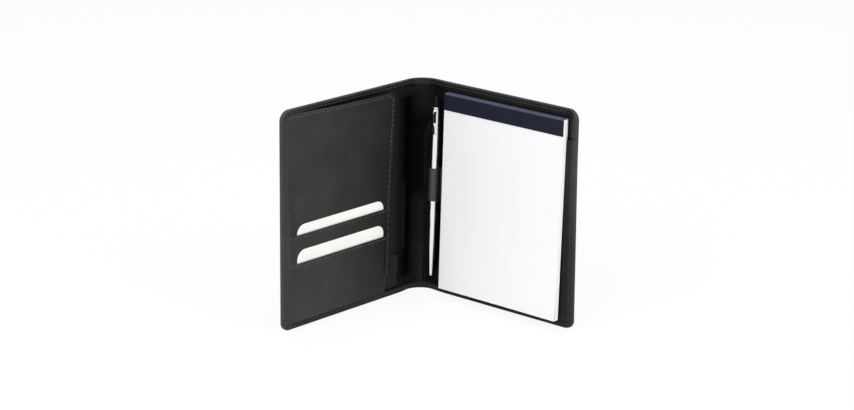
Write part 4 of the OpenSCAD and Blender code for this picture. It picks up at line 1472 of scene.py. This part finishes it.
def stitch_tree():
    """Geometry Nodes that lay a stitch at each pitch along a seam, each a little uneven."""
    name = "stitches_along_a_seam"
    found = bpy.data.node_groups.get(name)
    if found:
        return found
    tree = bpy.data.node_groups.new(name, "GeometryNodeTree")
    for label, kind in (
        ("Seam", "Geometry"),
        ("Pitch", "Float"),
        ("Stitch", "Float"),
        ("Thread", "Float"),
        ("Unevenness", "Vector"),
        ("Finish", "Material"),
    ):
        tree.interface.new_socket(name=label, in_out="INPUT", socket_type=f"NodeSocket{kind}")
    tree.interface.new_socket(name="Stitches", in_out="OUTPUT", socket_type="NodeSocketGeometry")
    given = add_node(tree, "NodeGroupInput").outputs
    path = add_node(tree, "GeometryNodeMeshToCurve", {"Mesh": given["Seam"]})
    every = {"Curve": path, "Length": given["Pitch"]}
    points = add_node(tree, "GeometryNodeCurveToPoints", every, mode="LENGTH")
    bead = add_node(tree, "GeometryNodeMeshUVSphere", {"Segments": 6, "Rings": 5, "Radius": 0.5})
    lengths = {"X": given["Thread"], "Y": given["Thread"], "Z": given["Stitch"]}
    size = add_node(tree, "ShaderNodeCombineXYZ", lengths)
    most = given["Unevenness"]
    least = add_node(tree, "ShaderNodeVectorMath", {0: most, "Scale": -1.0}, operation="SCALE")
    between = {0: least, 1: most, "Seed": SEED}
    tilt = add_node(tree, "FunctionNodeRandomValue", between, data_type="FLOAT_VECTOR")
    euler = add_node(tree, "FunctionNodeEulerToRotation", {0: tilt})
    both = {0: points.outputs["Rotation"], 1: euler}
    turned = add_node(tree, "FunctionNodeRotateRotation", both, rotation_space="LOCAL")
    stitches = {"Points": points, "Instance": bead, "Rotation": turned, "Scale": size}
    laid = add_node(tree, "GeometryNodeInstanceOnPoints", stitches)
    real = add_node(tree, "GeometryNodeRealizeInstances", {"Geometry": laid})
    soft = add_node(tree, "GeometryNodeSetShadeSmooth", {"Geometry": real})
    done = add_node(tree, "GeometryNodeSetMaterial", {"Geometry": soft, "Material": given["Finish"]})
    add_node(tree, "NodeGroupOutput", {"Stitches": done})
    return tree


def sew(name, seams, sewing, look="waxed_thread"):
    """A mesh of the stitches along several seams."""
    edges = []
    first = 0
    for seam in seams:
        edges += [(first + i, first + i + 1) for i in range(len(seam) - 1)]
        first += len(seam)
    mesh = bpy.data.meshes.new(name)
    mesh.from_pydata(np.concatenate(seams).tolist(), edges, [])
    made = bpy.data.objects.new(name, mesh)
    bpy.context.scene.collection.objects.link(made)
    tree = stitch_tree()
    values = {
        "Pitch": sewing.pitch,
        "Stitch": sewing.stitch,
        "Thread": sewing.thread,
        "Unevenness": (sewing.tilt,) * 3,
        "Finish": finish(look),
    }
    modifier = made.modifiers.new("stitches", "NODES")
    modifier.node_group = tree
    for socket in tree.interface.items_tree:
        if socket.in_out == "INPUT" and socket.name in values:
            modifier[socket.identifier] = values[socket.name]
    graph = bpy.context.evaluated_depsgraph_get()
    sewn = bpy.data.meshes.new_from_object(made.evaluated_get(graph))
    made.modifiers.clear()
    made.data = sewn
    sewn.name = name
    bpy.data.meshes.remove(mesh)
    if not len(sewn.polygons):
        raise RuntimeError(f"no stitches were made for {name}")
    sewn.materials.clear()
    sewn.materials.append(finish(look))
    return made


class NOTEBOOK_OT_sewing(bpy.types.Operator):
    """Sew the hem, the pockets and the pen loop"""

    bl_idname = "notebook.sewing"
    bl_label = "Sewing"

    def execute(self, context):
        places = Places(context.scene.notebook)
        sewing = places.notebook.sewing
        for side, word in SIDES:
            sunk = TOP_SUNK if side == RIGHT else 0.0
            front = self.hem(places, sewing, side, HEM_SEAM_N, sunk)
            back = self.hem(places, sewing, side, BACK_SEAM_N)
            made = sew(f"{word}_hem_stitches", [front, back], sewing)
            bend(places, made, side)
        seams = self.pocket(places, sewing)
        made = sew("document_pocket_stitches", seams, sewing, "pale_thread")
        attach(made, "left_cover")
        seams = self.pad_pocket(places, sewing)
        made = sew("pad_pocket_stitches", seams, sewing, "shaded_thread")
        bend(places, made, RIGHT, before=PAD_FOLD_BEFORE)
        made = sew("pen_loop_stitches", self.loop(places), sewing)
        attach(made, "right_cover")
        return {"FINISHED"}

    def hem(self, places, sewing, side, n, sunk=0.0):
        """The seam round one half of the case, from the middle of the spine, sunk along its top where
        the pad slides over it."""
        case = places.notebook.case
        inset = sewing.hem_in
        turn = np.linspace(-math.pi / 2, 0, 16)[1:]
        halves = []
        for corner in (case.lower_r, case.upper_r):
            run = spaced(0, places.reach - corner, SEAM_STEP)
            radius = corner - inset
            across = places.reach - corner + radius * np.cos(turn)
            up = corner + radius * np.sin(turn)
            halves.append(np.stack([np.append(run, across), np.append(np.full(len(run), inset), up)], 1))
        upper = halves[1][::-1] * [1, -1] + [0, case.height]
        rise = spaced(case.lower_r, case.height - case.upper_r, SEAM_STEP)[1:-1]
        upright = np.stack([np.full(len(rise), places.reach - inset), rise], 1)
        s, z = np.concatenate([halves[0], upright, upper]).T
        depth = n - sunk * (z > case.height - 2 * inset)
        return case_place(places, side * s, z, np.full(len(s), inset), depth)

    def on_left(self, places, back, u, z, sunk=SUNK):
        """A seam on a layer of the document pocket, with its thread sunk to a share of the leather."""
        u, z = np.broadcast_arrays(u, z)
        return places.cover(LEFT, u, back(places, u, z) + sunk * places.notebook.pockets.panel_t, z)

    def pocket(self, places, sewing):
        """Seams along the mouth, the slots and the inner edge of the document pocket."""
        pockets = places.notebook.pockets
        inset = sewing.pocket_in
        inner = pockets.inner_u + inset
        outer = places.hem_u - SIDE_SPARE
        corner_u, corner_z = pockets.inner_u + pockets.corner_r, pockets.top - pockets.corner_r
        radius = pockets.corner_r - inset
        turn = np.linspace(math.pi / 2, math.pi, 10)[1:]
        mouth = spaced(outer, corner_u, SEAM_STEP)
        side = spaced(corner_z, pockets.upper_slot + 1 * MM, SEAM_STEP)[1:]
        u = np.concatenate([mouth, corner_u + radius * np.cos(turn), np.full(len(side), inner)])
        z = np.concatenate([np.full(len(mouth), pockets.top - inset), corner_z + radius * np.sin(turn), side])
        seams = [self.on_left(places, panel_back, u, z)]
        for back, top, low, sunk in (
            (band_back, pockets.upper_slot, pockets.lower_slot + 1 * MM, BAND_SUNK),
            (lower_back, pockets.lower_slot, LOWER_SEAM_FOOT, SUNK),
        ):
            along = spaced(outer, inner + 1 * MM, SEAM_STEP)
            down = spaced(top - 1 * MM, low, SEAM_STEP)
            seams.append(self.on_left(places, back, along, top - inset, sunk))
            seams.append(self.on_left(places, back, inner, down))
        return seams

    def pad_pocket(self, places, sewing):
        """The seam along the lapped edge and the mouth of the pad pocket."""
        pockets = places.notebook.pockets
        inset = sewing.pocket_in
        start = places.arc - pockets.lap
        radius = pockets.pad_corner_r - inset
        corner_s, corner_z = start + pockets.pad_corner_r, pockets.pad_top - pockets.pad_corner_r
        turn = np.linspace(math.pi, math.pi / 2, 40)[1:]
        side = spaced(PAD_SEAM_FOOT, corner_z, SEAM_STEP)
        mouth = spaced(corner_s, places.along(places.hem_u - 1 * MM), SEAM_STEP)[1:]
        s = np.concatenate([np.full(len(side), start + inset), corner_s + radius * np.cos(turn), mouth])
        mouth_z = np.full(len(mouth), pockets.pad_top - inset)
        z = np.concatenate([side, corner_z + radius * np.sin(turn), mouth_z])
        return [places.case(s, pad_pocket_back(places, s, z) + SUNK * pockets.panel_t, z)]

    def loop(self, places):
        """The seam that holds the loop's tail."""
        pen = places.notebook.pen
        half = pen.loop_h / 2 - LOOP_SEAM_IN
        return [places.pen(LOOP_SEAM, -pen.loop_r + pen.loop_t, pen.below + spaced(-half, half, SEAM_STEP))]


# Stage: the camera in millimetres and degrees, the soft light, and the floor
CAMERA = (-107.0, -1590.0, 597.3)
CAMERA_YAW = 3.913
CAMERA_PITCH = 18.012
CAMERA_ROLL = 0.831
CAMERA_LENS = 98.97
WHITE = (1, 1, 1, 1)
SOFT_LIGHT = 0.45
FLOOR_HALF = 6.0
FLOOR_GAP = 0.05 * MM
FLOOR_GREY = (0.85, 0.85, 0.85, 1)
FLOOR_WHITE = 0.9
AIM = (0, 0, 0.08)


class NOTEBOOK_OT_stage(bpy.types.Operator):
    """Set up the floor, the soft light and the camera"""

    bl_idname = "notebook.stage"
    bl_label = "Stage"

    def execute(self, context):
        scene = context.scene
        scene.view_settings.view_transform = "Standard"
        self.camera(scene)
        self.world(scene)
        self.floor(scene)
        lamps = (
            ("key_softbox", (-1.1, -1.3, 1.5), 1.4, 24),
            ("fill_softbox", (1.3, -1.1, 1.0), 1.4, 12),
            ("top_softbox", (0.1, 0.2, 1.8), 1.4, 14),
        )
        for name, spot, size, power in lamps:
            self.lamp(scene, name, spot, size, power)
        return {"FINISHED"}

    def camera(self, scene):
        """The camera at the photograph's angle."""
        yaw, pitch, roll = (math.radians(a) for a in (CAMERA_YAW, CAMERA_PITCH, CAMERA_ROLL))
        forward = Vector((math.sin(yaw) * math.cos(pitch), math.cos(yaw) * math.cos(pitch), -math.sin(pitch)))
        level = Vector((math.cos(yaw), -math.sin(yaw), 0))
        upward = level.cross(forward)
        right = level * math.cos(roll) + upward * math.sin(roll)
        up = upward * math.cos(roll) - level * math.sin(roll)
        data = bpy.data.cameras.new("camera")
        data.lens = CAMERA_LENS
        data.sensor_width = 36
        camera = bpy.data.objects.new("camera", data)
        turn = Matrix((right, up, -forward)).transposed().to_4x4()
        camera.matrix_world = Matrix.Translation(Vector(CAMERA) * MM) @ turn
        scene.collection.objects.link(camera)
        scene.camera = camera

    def seen(self, tree):
        """1 for what the camera, a mirror or glass sees, 0 for other light."""
        path = add_node(tree, "ShaderNodeLightPath").outputs
        straight = {0: path["Is Camera Ray"], 1: path["Is Glossy Ray"]}
        either = add_node(tree, "ShaderNodeMath", straight, operation="MAXIMUM")
        through = {0: either, 1: path["Is Transmission Ray"]}
        return add_node(tree, "ShaderNodeMath", through, operation="MAXIMUM")

    def world(self, scene):
        """White to the camera, and an even soft light on the object."""
        world = bpy.data.worlds.new("studio")
        scene.world = world
        world.use_nodes = True
        tree = world.node_tree
        tree.nodes.clear()
        white = add_node(tree, "ShaderNodeBackground", {"Color": WHITE, "Strength": 1.0})
        soft = add_node(tree, "ShaderNodeBackground", {"Color": WHITE, "Strength": SOFT_LIGHT})
        mixed = add_node(tree, "ShaderNodeMixShader", {0: self.seen(tree), 1: soft, 2: white})
        add_node(tree, "ShaderNodeOutputWorld", {"Surface": mixed})

    def floor(self, scene):
        """A pale floor that shows white and keeps a faint shadow."""
        half, low = FLOOR_HALF, -FLOOR_GAP
        mesh = bpy.data.meshes.new("floor")
        corners = [(-half, -half, low), (half, -half, low), (half, half, low), (-half, half, low)]
        mesh.from_pydata(corners, [], [(0, 1, 2, 3)])
        material = bpy.data.materials.new("matt_white_floor")
        material.use_nodes = True
        tree = material.node_tree
        tree.nodes.clear()
        matt = add_node(tree, "ShaderNodeBsdfDiffuse", {"Color": FLOOR_GREY})
        white = add_node(tree, "ShaderNodeEmission", {"Color": WHITE, "Strength": 1.0})
        part = add_node(tree, "ShaderNodeMath", {0: self.seen(tree), 1: FLOOR_WHITE}, operation="MULTIPLY")
        mixed = add_node(tree, "ShaderNodeMixShader", {0: part, 1: matt, 2: white})
        add_node(tree, "ShaderNodeOutputMaterial", {"Surface": mixed})
        mesh.materials.append(material)
        floor = bpy.data.objects.new("floor", mesh)
        scene.collection.objects.link(floor)

    def lamp(self, scene, name, spot, size, power):
        """A square softbox aimed at the notebook."""
        data = bpy.data.lights.new(name, "AREA")
        data.size = size
        data.energy = power
        lamp = bpy.data.objects.new(name, data)
        lamp.location = spot
        aim = Vector(AIM) - Vector(spot)
        lamp.rotation_euler = aim.to_track_quat("-Z", "Y").to_euler()
        scene.collection.objects.link(lamp)


class NOTEBOOK_PT_panel(bpy.types.Panel):
    """Lists the notebook's pieces and sizes in the sidebar"""

    bl_idname = "NOTEBOOK_PT_panel"
    bl_label = "Leather notebook"
    bl_space_type = "VIEW_3D"
    bl_region_type = "UI"
    bl_category = "Notebook"

    def draw(self, context):
        for operator in OPERATORS:
            self.layout.operator(operator.bl_idname)
        notebook = context.scene.notebook
        for group in ("case", "pockets", "cards", "pad", "pen", "sewing", "colours"):
            column = self.layout.column(heading=group.capitalize())
            values = getattr(notebook, group)
            for name in values.__annotations__:
                column.prop(values, name)


OPERATORS = (
    NOTEBOOK_OT_stage,
    NOTEBOOK_OT_case,
    NOTEBOOK_OT_document_pocket,
    NOTEBOOK_OT_cards,
    NOTEBOOK_OT_pad_pocket,
    NOTEBOOK_OT_pad,
    NOTEBOOK_OT_pen,
    NOTEBOOK_OT_sewing,
)
GROUPS = (CaseSizes, PocketSizes, CardSizes, PadSizes, PenSizes, SewingSizes, NotebookColours, Notebook)


def register():
    for part in (*GROUPS, *OPERATORS, NOTEBOOK_PT_panel):
        bpy.utils.register_class(part)
    bpy.types.Scene.notebook = bpy.props.PointerProperty(type=Notebook)


def unregister():
    del bpy.types.Scene.notebook
    for part in reversed((*GROUPS, *OPERATORS, NOTEBOOK_PT_panel)):
        bpy.utils.unregister_class(part)


def main():
    register()
    bpy.ops.notebook.stage()
    bpy.ops.notebook.case()
    bpy.ops.notebook.document_pocket()
    bpy.ops.notebook.cards()
    bpy.ops.notebook.pad_pocket()
    bpy.ops.notebook.pad()
    bpy.ops.notebook.pen()
    bpy.ops.notebook.sewing()


if __name__ == "__main__":
    main()
